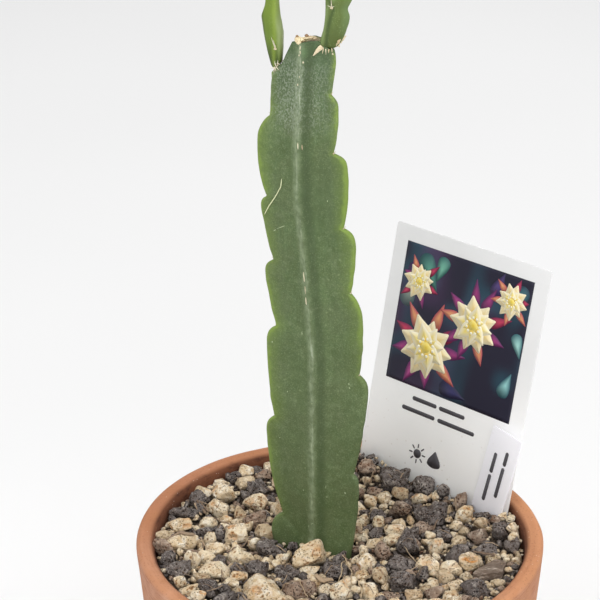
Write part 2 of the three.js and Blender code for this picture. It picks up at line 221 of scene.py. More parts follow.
def lattice(cell, seed):
    """A repeatable number from 0 to 1 for each whole-number cell of space."""
    key = cell[..., 0] * 374761393 + cell[..., 1] * 668265263 + cell[..., 2] * 2147483629
    key = (key + int(seed) * 1274126177) & 0xFFFFFFFF
    key = ((key ^ (key >> 13)) * 1274126177) & 0xFFFFFFFF
    return ((key ^ (key >> 16)) & 0xFFFFFF) / 0xFFFFFF


def lumps(points, size, seed=0):
    """Soft noise from -1 to 1, with lumps of a size."""
    scaled = points / size
    low = np.floor(scaled).astype(np.int64)
    part = scaled - low
    part = part * part * (3 - 2 * part)
    total = 0
    for corner in itertools.product((0, 1), repeat=3):
        share = np.prod(np.where(corner, part, 1 - part), axis=1)
        total = total + share * lattice(low + np.array(corner), seed)
    return 2 * total - 1


def pits(points, size, seed=0):
    """Distance to the nearest of scattered points, in units of their spacing."""
    scaled = points / size
    low = np.floor(scaled).astype(np.int64)
    nearest = np.full(len(points), 9.0)
    for step in itertools.product((-1, 0, 1), repeat=3):
        cell = low + np.array(step)
        spot = cell + np.stack([lattice(cell, seed + k) for k in (1, 2, 3)], axis=1)
        nearest = np.minimum(nearest, np.linalg.norm(spot - scaled, axis=1))
    return nearest


def smooth(value, low, high):
    """0 below low, 1 above high, and an easy curve between."""
    part = np.clip((value - low) / (high - low), 0, 1)
    return part * part * (3 - 2 * part)


def rounded(share):
    """0 to 1 along a quarter of a circle, for round ends and edges."""
    return np.sqrt(1 - (1 - np.clip(share, 0, 1)) ** 2)


def turned(first, second, angle):
    """Two coordinates turned about the third axis, by an angle in radians."""
    cos, sin = math.cos(angle), math.sin(angle)
    return cos * first - sin * second, sin * first + cos * second


sample = lumps(np.arange(300.0).reshape(100, 3), 2.5)
print("soft noise runs from", sample.min().round(2), "to", sample.max().round(2))

# %% Tools for nodes


def new_node(tree, kind, sockets=None, **settings):
    """Adds a shader node. A socket is given a number, or another node's output."""
    node = tree.nodes.new("ShaderNode" + kind)
    for name, value in settings.items():
        setattr(node, name, value)
    for name, value in (sockets or {}).items():
        if isinstance(value, bpy.types.NodeSocket):
            tree.links.new(value, node.inputs[name])
        else:
            node.inputs[name].default_value = value
    return node


def blend(tree, share, first, second, mode="MIX"):
    """Mixes two colours by a share, and gives the colour out."""
    first, second = (
        value if isinstance(value, bpy.types.NodeSocket) else (*value, 1) for value in (first, second)
    )
    sockets = {0: share, 6: first, 7: second}
    return new_node(tree, "Mix", sockets, data_type="RGBA", blend_type=mode).outputs[2]


def sums(tree, operation, first, second=0.5, third=0.5):
    """One sum on numbers or outputs."""
    node = new_node(tree, "Math", {0: first, 1: second, 2: third}, operation=operation)
    return node.outputs[0]


def times(tree, *factors):
    """The product of numbers or outputs."""
    product = factors[0]
    for factor in factors[1:]:
        product = sums(tree, "MULTIPLY", product, factor)
    return product


def ramp(tree, value, low, high, start=0.0, end=1.0):
    """A smooth step of a value from low to high."""
    sockets = {"Value": value, 1: low, 2: high, 3: start, 4: end}
    return new_node(tree, "MapRange", sockets, interpolation_type="SMOOTHSTEP").outputs[0]


def band(tree, value, middle, width):
    """1 where a value is at the middle of a band, fading to 0 at its width on both sides."""
    away = sums(tree, "ABSOLUTE", sums(tree, "SUBTRACT", value, middle))
    return ramp(tree, away, width, 0.0)


def drawn_out(tree, place, *scale):
    """The place with its axes scaled, for a pattern that is longer one way."""
    return new_node(tree, "Mapping", {"Vector": place, "Scale": scale}).outputs[0]


def noise(tree, place, scale, detail=3.0, roughness=0.55):
    sockets = {"Vector": place, "Scale": scale, "Detail": detail, "Roughness": roughness}
    return new_node(tree, "TexNoise", sockets).outputs["Fac"]


def stored(tree, name):
    """A number painted on the piece's vertices."""
    return new_node(tree, "Attribute", attribute_name=name).outputs["Fac"]


print("node tools:", [tool.__name__ for tool in (new_node, blend, sums, times, ramp, band)])

# %% Tools for materials and groups


def new_material(name):
    """An empty recipe: the tree, its shader and the place on the piece."""
    material = bpy.data.materials.new(name)
    material.use_nodes = True
    tree = material.node_tree
    shader = tree.nodes["Principled BSDF"]
    place = new_node(tree, "TexCoord").outputs["Object"]
    return material, tree, shader, place


def new_group(name, inputs, output):
    """A node group with a place, named numbers and one output: its tree and both ends."""
    tree = bpy.data.node_groups.new(name, "ShaderNodeTree")
    tree.interface.new_socket("Place", in_out="INPUT", socket_type="NodeSocketVector")
    for label, value in inputs.items():
        socket = tree.interface.new_socket(label, in_out="INPUT", socket_type="NodeSocketFloat")
        socket.default_value = value
    tree.interface.new_socket(output, in_out="OUTPUT", socket_type="NodeSocketFloat")
    into, out = tree.nodes.new("NodeGroupInput"), tree.nodes.new("NodeGroupOutput")
    return tree, into.outputs, out.inputs[output]


def use_group(tree, group, *values):
    """Places a group, with its place and its numbers in the order of its sockets."""
    return new_node(tree, "Group", dict(enumerate(values)), node_tree=group).outputs[0]


print("recipe tools:", [tool.__name__ for tool in (new_material, new_group, use_group)])

# %% [markdown]
# ## Shared finishes
# Clay, stone, bark and plant skin all have a fine grain and small scattered specks or pores at
# different sizes. Each effect is a node group, made once and set for each material. Grain is two
# layers of noise. Pores are the dark middles of a cell pattern, with a mask that lets them come
# in clusters, because pores spaced evenly all over look printed.

# %% Node group: grain
grain_group, into, out = new_group("grain", {"Scale": 100, "Coarse": 0.5}, "Height")
fine_grain = noise(grain_group, into["Place"], into["Scale"], 5.0, 0.65)
wide_grain = noise(grain_group, into["Place"], times(grain_group, into["Scale"], 0.18), 3.0)
wide_part = times(grain_group, wide_grain, into["Coarse"])
grain_group.links.new(sums(grain_group, "ADD", fine_grain, wide_part), out)


def grain(tree, place, scale, coarse):
    return use_group(tree, grain_group, place, scale, coarse)


print("group:", grain_group.name)

# %% Node group: pores
pores_group, into, out = new_group("pores", {"Scale": 100, "Size": 0.3, "Cluster": 0.5}, "Mask")
cell_sockets = {"Randomness": 1.0, "Vector": into["Place"], "Scale": into["Scale"]}
pore_cells = new_node(pores_group, "TexVoronoi", cell_sockets, feature="F1")
pore_edge = times(pores_group, into["Size"], 0.55)
pore = ramp(pores_group, pore_cells.outputs["Distance"], into["Size"], pore_edge)
cluster_noise = noise(pores_group, into["Place"], times(pores_group, into["Scale"], 0.22), 2.0)
cluster_top = sums(pores_group, "ADD", into["Cluster"], 0.12)
cluster = ramp(pores_group, cluster_noise, into["Cluster"], cluster_top)
pores_group.links.new(times(pores_group, pore, cluster), out)


def pores(tree, place, scale, size, cluster):
    return use_group(tree, pores_group, place, scale, size, cluster)


print("group:", pores_group.name)

# %% Node group: patches
patches_group, into, out = new_group("patches", {"Scale": 20, "Level": 0.5, "Soft": 0.15}, "Mask")
patch_noise = noise(patches_group, into["Place"], into["Scale"], 4.0, 0.6)
patch_top = sums(patches_group, "ADD", into["Level"], into["Soft"])
patches_group.links.new(ramp(patches_group, patch_noise, into["Level"], patch_top), out)


def patches(tree, place, scale, level, soft):
    return use_group(tree, patches_group, place, scale, level, soft)


print("group:", patches_group.name)

# %% Colours as they are read from a paint card


def srgb(red, green, blue):
    """Turns an everyday 0 to 255 colour into the linear numbers that shaders use."""
    parts = [c / 255 for c in (red, green, blue)]
    return tuple(c / 12.92 if c < 0.04045 else ((c + 0.055) / 1.055) ** 2.4 for c in parts)


def tint(tree, colour, *layers):
    """Lays paint card colours over a colour. A layer is a colour and the shares it is laid by."""
    for card, *shares in layers:
        colour = blend(tree, times(tree, *shares), colour, srgb(*card))
    return colour


def bump(tree, shader, height, strength, distance):
    """Lets a height pattern tilt the surface's light."""
    sockets = {"Height": height, "Strength": strength, "Distance": distance}
    tree.links.new(new_node(tree, "Bump", sockets).outputs["Normal"], shader.inputs["Normal"])


def finish(tree, shader, colour, rough, relief, specular=0.5):
    """Sets a shader: rough is a pattern and its range, relief a pattern, strength and depth."""
    tree.links.new(colour, shader.inputs["Base Color"])
    pattern, low, high = rough
    tree.links.new(ramp(tree, pattern, 0.2, 1.0, low, high), shader.inputs["Roughness"])
    shader.inputs["Specular IOR Level"].default_value = specular
    bump(tree, shader, *relief)


print("middle grey of a paint card:", [round(part, 3) for part in srgb(128, 128, 128)])

# %% [markdown]
# ## The floor
# A wide pale plane takes the pot's soft shadow. It is staged, so it isn't part of the object.
# Paper has a faint tooth, and without it a floor this size looks like a hole in the picture.

# %% Floor
floor = add_primitive(bpy.ops.mesh.primitive_plane_add, "floor", size=9)
material, tree, shader, place = new_material("pale_paper")
tooth = noise(tree, place, 900, 3)
clouding = ramp(tree, noise(tree, place, 1.3, 2), 0.3, 0.7)
paper = blend(tree, clouding, srgb(243, 243, 243), srgb(246, 246, 246))
tree.links.new(paper, shader.inputs["Base Color"])
shader.inputs["Roughness"].default_value = 0.85
shader.inputs["Specular IOR Level"].default_value = 0.2
bump(tree, shader, tooth, 0.05, 0.0002)
floor.data.materials.append(material)
print("floor:", floor.name)

# %% [markdown]
# ## The clay pot
# A clay pot is thrown or pressed round an axis, so one outline spun through a full turn gives
# the wall, the rounded lip and the drain hole together. A cylinder with a bevel would have
# neither the taper nor the lip's roundness. The outline is a circle of points moved on to the
# pot's section. After the spin the doubled seam is merged, and faint rings and lumps are
# pushed in, as a pressed pot has them.

# %% The pot's outline
RIM_RADIUS = 70
LIP_WIDTH = 6.2
LIP_OUTER_ROUND = 2
LIP_INNER_ROUND = 3.0
LIP_SLOPE = 0.4  # the lip's top leans in by this much
WALL_TAPER = 4  # degrees
BEND_DEPTH = 60
BASE_RADIUS = 57
BASE_EDGE = 3
WALL_WIDTH = 6
FLOOR_WIDTH = 8
DRAIN_RADIUS = 9


def bent(start, control, end, count):
    """Points of a quadratic curve, without its last one."""
    share = np.linspace(0, 1, count, endpoint=False)[:, None]
    start, control, end = (np.array(p, float) for p in (start, control, end))
    return start * (1 - share) ** 2 + control * 2 * share * (1 - share) + end * share**2


bend_radius = RIM_RADIUS - math.tan(math.radians(WALL_TAPER)) * BEND_DEPTH
inner_foot = (BASE_RADIUS - WALL_WIDTH, FLOOR_WIDTH + BASE_EDGE)
inner_radius = RIM_RADIUS - LIP_WIDTH
inner_top = (inner_radius, RIM - LIP_INNER_ROUND - LIP_SLOPE)
outer_top = (RIM_RADIUS, RIM - LIP_OUTER_ROUND)
lip_outside = (RIM_RADIUS - LIP_OUTER_ROUND, RIM)
lip_inside = (inner_radius + LIP_INNER_ROUND, RIM - LIP_SLOPE)
lip_middle = (lip_outside[0] + lip_inside[0]) / 2
inner_bend = (bend_radius - WALL_WIDTH, RIM - BEND_DEPTH)
pot_outline = np.concatenate(
    [
        bent((DRAIN_RADIUS, 0), (30, 0.4), (BASE_RADIUS - BASE_EDGE, 0), 14),
        bent((BASE_RADIUS - BASE_EDGE, 0), (BASE_RADIUS, 0), (BASE_RADIUS, BASE_EDGE), 5),
        bent((BASE_RADIUS, BASE_EDGE), (bend_radius, RIM - BEND_DEPTH), outer_top, 56),
        bent(outer_top, (RIM_RADIUS, RIM), lip_outside, 7),
        bent(lip_outside, (lip_middle, RIM - 0.05), lip_inside, 6),
        bent(lip_inside, (inner_radius, RIM - LIP_SLOPE), inner_top, 5),
        bent(inner_top, inner_bend, inner_foot, 44),
        bent(inner_foot, (inner_foot[0], FLOOR_WIDTH), (inner_foot[0] - 4, FLOOR_WIDTH), 4),
        bent((inner_foot[0] - 4, FLOOR_WIDTH), (30, FLOOR_WIDTH), (DRAIN_RADIUS, FLOOR_WIDTH), 12),
        bent((DRAIN_RADIUS, FLOOR_WIDTH), (DRAIN_RADIUS - 0.3, 4), (DRAIN_RADIUS, 0), 5),
    ]
)
print("outline points:", len(pot_outline))

# %% Spin the pot
SPIN_STEPS = 168
RIM_LIFTS = [(1.0, 32), (0.55, 140)]  # how much higher the rim is, in mm, and at which bearing
DARKER_SIDE_BEARING = 150  # degrees: the side of the wall on which the clay is darker
pot = add_primitive(
    bpy.ops.mesh.primitive_circle_add, "clay_pot", vertices=len(pot_outline), fill_type="NOTHING"
)
ring = np.zeros((len(pot_outline), 3))
ring[:, 0] = pot_outline[:, 0]
ring[:, 2] = pot_outline[:, 1]
set_points(pot, ring * MM)
open_edit()
bpy.ops.mesh.spin(
    steps=SPIN_STEPS, angle=2 * math.pi, center=(0, 0, 0), axis=(0, 0, 1), use_auto_merge=True
)
bpy.ops.mesh.select_all(action="SELECT")
bpy.ops.mesh.remove_doubles(threshold=0.00002)
close_edit()


def side_facing(bearing, degrees):
    """1 on the side of a bearing, and 0 away from it."""
    return smooth(np.cos(bearing - math.radians(degrees)), 0.1, 1)


points = get_points(pot)
around = points.copy()
radius = np.maximum(np.hypot(points[:, 0], points[:, 1]), 1e-6)
height = points[:, 2] / MM
wobble = 0.28 * lumps(points / MM, 34, 5) + 0.1 * lumps(points / MM, 9, 6)
rings = 0.05 * np.sin(height * 3.1 + 1.5 * lumps(points / MM, 60, 7))
fade = smooth(height, 4, 14)
push = 1 + (wobble + rings) * fade * MM / radius
points[:, :2] *= push[:, None]
points[:, 2] += 0.18 * MM * lumps(around / MM, 26, 8) * smooth(height, 100, 118)
bearing = np.arctan2(points[:, 1], points[:, 0])
lift = sum(rise * side_facing(bearing, degrees) for rise, degrees in RIM_LIFTS)
points[:, 2] += lift * MM * smooth(height, 70, 118)
outwards = 0.2 * smooth(-np.cos(bearing), 0.2, 1) * smooth(height, 4, 40)
points[:, 0] -= outwards * MM
set_points(pot, points)
outer_radius = np.interp(height, [0, RIM - BEND_DEPTH, RIM], [BASE_RADIUS, bend_radius, RIM_RADIUS])
wall_middle = np.minimum(outer_radius - 0.4 * WALL_WIDTH, lip_middle)
# the inner wall and the lip's inner slope, which the clay paints darker: partly damp, partly painted shade
inside_share = smooth(RIM - 0.3 - height, 0, 1.1) * smooth(wall_middle - radius / MM, 0, 1.6)
inside_share *= height > FLOOR_WIDTH - 1
paint(pot, "inside", inside_share)
paint(pot, "darker_side", side_facing(bearing, DARKER_SIDE_BEARING))
print("pot faces:", len(pot.data.polygons), "inner points:", int((inside_share > 0.5).sum()))

# %% [markdown]
# ## Fired clay
# Terracotta is chalky and never one orange. The firing leaves wide pale and dark clouds, the
# wall has fine sand in it, and water carries salt out through the clay, which dries as a pale
# bloom under the lip. Inside, above the gravel and on the lip's inner slope, the wall is darker,
# partly damp and partly painted shade. Clouds, specks and grain come from the shared groups.

# %% Clay material
material, tree, shader, place = new_material("fired_clay")
clay_grain = grain(tree, place, 1500, 0.8)
clouds = patches(tree, place, 26, 0.42, 0.22)
ochre = patches(tree, place, 70, 0.5, 0.2)
pink = patches(tree, place, 38, 0.52, 0.18)
smear = patches(tree, drawn_out(tree, place, 1, 1, 3.5), 120, 0.45, 0.25)
chalk = patches(tree, place, 48, 0.5, 0.2)
sand = pores(tree, place, 900, 0.3, 0.3)
lime = pores(tree, place, 620, 0.13, 0.5)
axes = new_node(tree, "SeparateXYZ", {"Vector": place}).outputs
height = axes["Z"]
low_salt = ramp(tree, height, RIM * MM, 0.75 * RIM * MM, 0.0, 0.75)
lip_wear = ramp(tree, height, (RIM - 1.6) * MM, (RIM - 0.2) * MM, 0.0, 0.5)
# rings round the axis: a pattern of the height and of the distance from the axis only
y_square = sums(tree, "POWER", axes["Y"], 2.0)
from_axis = sums(tree, "SQRT", sums(tree, "MULTIPLY_ADD", axes["X"], axes["X"], y_square))
ring_place = new_node(tree, "CombineXYZ", {"X": from_axis, "Z": height}).outputs[0]
rings = ramp(tree, noise(tree, ring_place, 1100, 3.0), 0.42, 0.62)
dry = tint(
    tree,
    blend(tree, clouds, srgb(185, 132, 100), srgb(210, 164, 138)),
    ((204, 146, 96), ochre, 0.5),
    ((196, 138, 120), pink, 0.5),
    ((168, 112, 80), smear, 0.35),
    ((226, 196, 178), low_salt, chalk),
    ((156, 100, 78), rings, sums(tree, "MULTIPLY_ADD", smear, 0.5, 0.15)),
    ((204, 143, 100), lip_wear),
    # the clay darker on one side of the wall
    ((152, 98, 70), stored(tree, "darker_side"), 0.5),
)
# the inside: darker clay, partly damp and partly painted shade
damp_and_shade = blend(tree, smear, srgb(115, 72, 51), srgb(84, 52, 39))
clay = blend(tree, stored(tree, "inside"), dry, damp_and_shade)
clay = tint(tree, clay, ((140, 94, 72), sand, 0.35), ((236, 222, 206), lime, 0.5))
wear = sums(tree, "MULTIPLY_ADD", smear, 0.6, clay_grain)
finish(tree, shader, clay, (clay_grain, 0.78, 0.95), (wear, 0.4, 0.0003), 0.25)
seat(pot, "terracotta", material, ["pot"])
print("material:", material.name)

# %% [markdown]
# ## The stem
# The flat stem is a leaf-like blade with a raised rib down the middle of both faces. Its edges
# run in lobes: each swells out just below a notch, where the areole sits, and draws in slowly
# to the next. Cutting the lobes with booleans would leave hard walls. Instead the rings of a
# sphere are laid along the height and each ring is stretched to the lobes, which keeps one
# closed skin with rounded edges. Each point also stores how far it is from the edge and from
# the rib, so that the skin's colours can follow the shape.

# %% The stem's measures
STEM_FOOT = (-8, 3.5)
STEM_TURN = math.radians(-21)
STEM_TOP = 173
STEM_END = -42
STEM_BURIED = -12
WING_HALF = 1.25
RIB_RISE = 2.9
RIB_SPREAD = 3.1
# Notches of each edge from the top down: height, distance from the middle, how far the lobe
# below stands out, and the height in which it does.
LEFT_NOTCHES = [
    (171, 14.5, 0.3, 1.8), (147.6, 15.6, 5.5, 3.8), (120.5, 16.5, 2.5, 1.0),
    (98.2, 14.8, 3.7, 1.7), (74.5, 14.0, 3.2, 1.4), (41, 15, 4.6, 3.0), (4, 12.3, 5.3, 2.6),
    (-24, 9, 0, 1),
]
RIGHT_NOTCHES = [
    (174, 5.9, 1, 1.8), (156.6, 5.4, 2.4, 1.6), (137, 6.2, 4.1, 1.1), (111.9, 9.6, 3.7, 1.3),
    (90, 12.4, 3.6, 3.6), (60.3, 15.2, 3.7, 2.5), (23.5, 13.8, 2.4, 1.5), (-24, 10.5, 0, 1),
]
RIB_LINE = [
    (173, -2.6), (155, -3.4), (141, -4.1), (121, -4.0), (108, -2.5), (94, -1.2), (80, -0.1),
    (66, 1.1), (0, 1.2), (-24, 0),
]
CUT_LINE = [
    (-14.8, 161.6), (-13.6, 163.1), (-10.5, 165.8), (-9.2, 168.7), (-7.8, 171.4), (-6.7, 173.4),
    (-5.5, 173.1), (-4.3, 172.6), (-2.9, 173.6), (-1.1, 174.0), (1.6, 174.0), (2.6, 173.2),
    (7, 170.2),
]
print("notches left and right:", len(LEFT_NOTCHES), len(RIGHT_NOTCHES))

# %% Curves of the stem


def on_line(line, at):
    """Values on a line of (at, value) points, straight between them."""
    line = sorted(line)
    return np.interp(at, [p[0] for p in line], [p[1] for p in line])


def lobed_edge(notches, heights):
    """Distance of a scalloped edge from the stem's middle."""
    reach = np.full(len(heights), float(notches[-1][1]))
    reach[heights > notches[0][0]] = notches[0][1]
    for (top, out, swell, ledge), (low, out_low, _, _) in zip(notches, notches[1:]):
        lobe = (heights <= top) & (heights > low)
        down = (top - heights[lobe]) / (top - low)
        shoulder = 1 - np.exp(-(top - heights[lobe]) / ledge)
        reach[lobe] = out + (out_low - out) * down + swell * shoulder * (1 - down**2.2)
    return reach


def inner_notches():
    """Side, height and reach of each notch between the top and the foot."""
    for notches, side in ((LEFT_NOTCHES, -1), (RIGHT_NOTCHES, 1)):
        for notch_height, notch_reach, _, _ in notches[1:-1]:
            yield side, notch_height, notch_reach


def stem_half(x, heights, edge):
    """Half the stem's thickness at a place, with the edge's distance given."""
    rib = on_line(RIB_LINE, heights)
    spread = RIB_SPREAD + 1.5 * smooth(heights, 70, 10)
    rise = RIB_RISE * np.exp(-((np.abs(x - rib) / spread) ** 1.35))
    buried = np.clip((heights - STEM_BURIED) / (STEM_END - STEM_BURIED), 0, 1)
    plump = 0.45 * smooth(edge, 0, 8)
    return (WING_HALF + plump + rise + 2 * buried) * rounded(edge / 1.3)


def wing_wave(x, heights):
    """The blade's gentle waves out of its own plane."""
    side = np.clip(np.abs(x) / 16, 0, 1.2) ** 2
    return side * (0.7 * np.sin(heights / 9.5 + 1.3 * np.sign(x)) + 0.35 * np.sin(heights / 4.1))


def from_stem(points):
    """Takes points in mm on the stem's own axes to their place in metres."""
    points = np.atleast_2d(np.asarray(points, float))
    x, y = turned(points[:, 0], points[:, 1], STEM_TURN)
    return np.stack([x + STEM_FOOT[0], y + STEM_FOOT[1], points[:, 2] + RIM], axis=1) * MM


print("stem height above the rim, mm:", STEM_TOP)

# %% Lay the rings of a sphere along the stem
STEM_SIDES = 136
STEM_RINGS = 430
CAP_RINGS = 9  # rings that close the cut top and the buried end
DISH_DEPTH = 0.8  # mm by which the cut has sunk


def ball(name, sides, rings):
    """A sphere of rings, whose poles lie on Z."""
    return add_primitive(
        bpy.ops.mesh.primitive_uv_sphere_add, name, segments=sides, ring_count=rings, radius=1
    )


def ring_shares(points, rings):
    """For a ball's points: the number of their ring from the top, and their direction round."""
    polar = np.arccos(np.clip(points[:, 2], -1, 1)) / math.pi
    turn = np.arctan2(points[:, 1], points[:, 0])
    return np.round(polar * rings), turn


stem = ball("stem", STEM_SIDES, STEM_RINGS)
ring_number, turn = ring_shares(get_points(stem), STEM_RINGS)
from_top = np.clip((ring_number - CAP_RINGS) / (STEM_RINGS - 2 * CAP_RINGS), 0, 1)
height = STEM_TOP + (STEM_END - STEM_TOP) * from_top
cap = np.clip(np.minimum(ring_number, STEM_RINGS - ring_number) / CAP_RINGS, 0, 1)
on_top = (1 - cap) * (ring_number < STEM_RINGS / 2)
spread = rounded(cap)
rib = on_line(RIB_LINE, height)
buried = np.clip((height - STEM_BURIED) / (STEM_END - STEM_BURIED), 0, 1)
narrow = 1 - 0.45 * buried
left = lobed_edge(LEFT_NOTCHES, height) * narrow + rib
right = lobed_edge(RIGHT_NOTCHES, height) * narrow - rib
side = np.cos(turn)
reach = np.where(side > 0, right, left)
x = rib + side * reach * spread
edge = reach * (1 - np.abs(side))
half = stem_half(x, height, edge) * spread
y = np.sign(np.sin(turn)) * half * (np.abs(np.sin(turn)) > 1e-5) + wing_wave(x, height)
pull = smooth(height, 148, STEM_TOP)
z = height + pull * (on_line(CUT_LINE, x) - STEM_TOP) - DISH_DEPTH * on_top
base = np.stack([x, y, z], axis=1)
print("stem width, mm:", np.ptp(x).round(1), "and thickness:", np.ptp(y).round(1))

# %% Veins, lumps and the numbers that the skin reads
face = np.sign(np.sin(turn)) * smooth(edge, 0.6, 3)
vein = np.zeros(len(x))
for sign, notch_height, notch_reach in inner_notches():
    across = np.clip((sign * x) / notch_reach, 0, 1)
    line = notch_height - 9 + 9 * across**1.3
    vein += np.exp(-(((z - line) / 1.5) ** 2)) * smooth(across, 0.2, 0.6)
knob = np.exp(-(((x + 1.9) / 1.2) ** 2 + ((z - 170.2) / 1.6) ** 2))
relief = 0.5 * knob - 0.22 * vein + 0.16 * lumps(base, 7, 21) + 0.05 * lumps(base, 2.2, 22)
base[:, 1] += relief * face
base[:, 0] += np.sign(side) * 0.16 * lumps(base, 3.2, 23) * smooth(edge, 3, 0)
set_points(stem, from_stem(base))
paint(stem, "edge_mm", edge)
paint(stem, "rib_mm", x - rib)
paint(stem, "up_mm", z)
paint(stem, "shoulder", np.clip(reach - 9.5, 0, 6) / 6)
paint(stem, "knob", knob)
paint(stem, "cut_top", on_top * smooth(x, 1.6, 0.2))
print("stem faces:", len(stem.data.polygons))

# %% [markdown]
# ## The stem's skin
# The skin is a waxy mid-green that grows duller and more olive towards the foot. Young growth
# at the edges of the lobes is thinner, so it shows yellow-green. Near the cut top a pale wax
# bloom lies in fine dots over the green, and the rib carries a worn pale line, with a painted
# highlight on its left flank and painted shade on its right. The stored distances steer each of
# these, and the shared groups break them up, because a plain band along the edge would look
# drawn.

# %% Skin material
material, tree, shader, place = new_material("waxy_skin")
edge, rib = stored(tree, "edge_mm"), stored(tree, "rib_mm")
up, shoulder = stored(tree, "up_mm"), stored(tree, "shoulder")
skin_grain = grain(tree, place, 1400, 0.6)
fine = noise(tree, place, 2300, 2.0)
broad = patches(tree, place, 75, 0.4, 0.25)
fleck = patches(tree, place, 700, 0.42, 0.2)
drift = patches(tree, place, 90, 0.42, 0.2)
blotch = patches(tree, place, 240, 0.48, 0.14)
pale_blotch = patches(tree, place, 430, 0.54, 0.12)
dots = pores(tree, place, 1500, 0.42, 0.4)
spot = pores(tree, place, 330, 0.16, 0.42)
streaks = patches(tree, drawn_out(tree, place, 1, 1, 0.12), 900, 0.5, 0.2)
wax = patches(tree, drawn_out(tree, place, 1, 1, 0.6), 2000, 0.46, 0.14)
# the young rim of the lobes: wider where a lobe stands out, ragged, and not all the way down
right_side = ramp(tree, rib, -3.0, 3.0)
left_young = times(tree, ramp(tree, up, -10, 40), sums(tree, "SUBTRACT", 1.0, right_side))
young_here = sums(tree, "MULTIPLY_ADD", ramp(tree, up, 45, 95), right_side, left_young)
edge_width = sums(tree, "MULTIPLY_ADD", shoulder, 1.0, 0.6)
ragged = sums(tree, "MULTIPLY_ADD", fleck, 0.4, times(tree, drift, 0.9))
edge_place = sums(tree, "DIVIDE", sums(tree, "ADD", edge, ragged), edge_width)
wide_young = ramp(tree, edge_place, 4.6, 0.4, 0.0, 0.5)
thin_young = ramp(tree, edge_place, 1.7, 0.3, 0.0, 0.8)
# the rib: a painted highlight on its left flank, a worn pale line on its crest and painted shade beside it
# on the right, with wax on both sides near the top
rubbed_and_highlight_noise = ramp(tree, noise(tree, place, 430, 2.0), 0.36, 0.62, 0.4, 1.1)
rib_highlight = times(tree, rubbed_and_highlight_noise, sums(tree, "MULTIPLY_ADD", streaks, 0.4, 0.45))
white_line = times(tree, band(tree, rib, -0.6, 0.9), streaks, 0.45, rubbed_and_highlight_noise)
rib_shade = band(tree, rib, 2.0, 2.6)
bloom = times(tree, ramp(tree, up, 139, 150), ramp(tree, up, 171, 164))
bloom = times(tree, bloom, sums(tree, "MULTIPLY_ADD", band(tree, rib, -2.0, 12.0), 0.75, 0.25))
bloom = times(tree, bloom, sums(tree, "MULTIPLY_ADD", rib_shade, -0.85, 1.0))
mottle = sums(tree, "MULTIPLY_ADD", wax, 0.36, sums(tree, "MULTIPLY_ADD", dots, 0.16, 0.03))
skin = tint(
    tree,
    blend(tree, broad, srgb(84, 102, 59), srgb(95, 115, 71)),
    ((74, 96, 58), fleck, 0.4),
    ((112, 134, 94), streaks, 0.3),
    ((84, 98, 60), ramp(tree, up, 110, 10, 0.0, 0.7)),
    ((72, 90, 50), blotch, 0.42),
    ((116, 132, 94), pale_blotch, 0.34),
    ((96, 104, 72), drift, 0.25),
    ((146, 162, 116), spot, 0.3),
    ((68, 92, 62), ramp(tree, up, 138, 172, 0.0, 0.6)),
    ((128, 146, 108), ramp(tree, fine, 0.5, 0.72, 0.0, 0.34)),
    ((66, 82, 48), ramp(tree, fine, 0.5, 0.28, 0.0, 0.3)),
    ((104, 132, 88), stored(tree, "knob")),
    # painted shade on the right half of the face, round mid height
    ((68, 88, 50), right_side, band(tree, up, 120, 26), 0.4),
    ((112, 134, 58), wide_young, young_here),
    ((126, 150, 62), thin_young, young_here),
    # painted highlight on the rib's left flank
    ((158, 172, 138), band(tree, rib, -1.2, 2.5), rib_highlight),
    ((196, 206, 182), white_line, ramp(tree, up, 5, 70, 0.35, 1.0)),
    ((58, 74, 42), rib_shade, 0.62),
    ((188, 196, 180), bloom, mottle),
    ((158, 176, 128), dots, 0.12),
    ((170, 150, 112), stored(tree, "cut_top")),
)
finish(tree, shader, skin, (skin_grain, 0.42, 0.62), (skin_grain, 0.16, 0.00012), 0.4)
seat(stem, "old_stem", material, ["main_stem"])
print("material:", material.name)

# %% [markdown]
# ## The young shoots
# Two shoots of this year stand on the areoles at the cut top. Young shoots of this cactus are
# still angled: three ridges with shallow valleys between, each ridge waving in and out like the
# lobes of the old stem. The same rings of a sphere are used, with a section whose ridges stand
# at chosen bearings, because a plain column would lose the bright face and the shaded face that
# meet at a ridge.

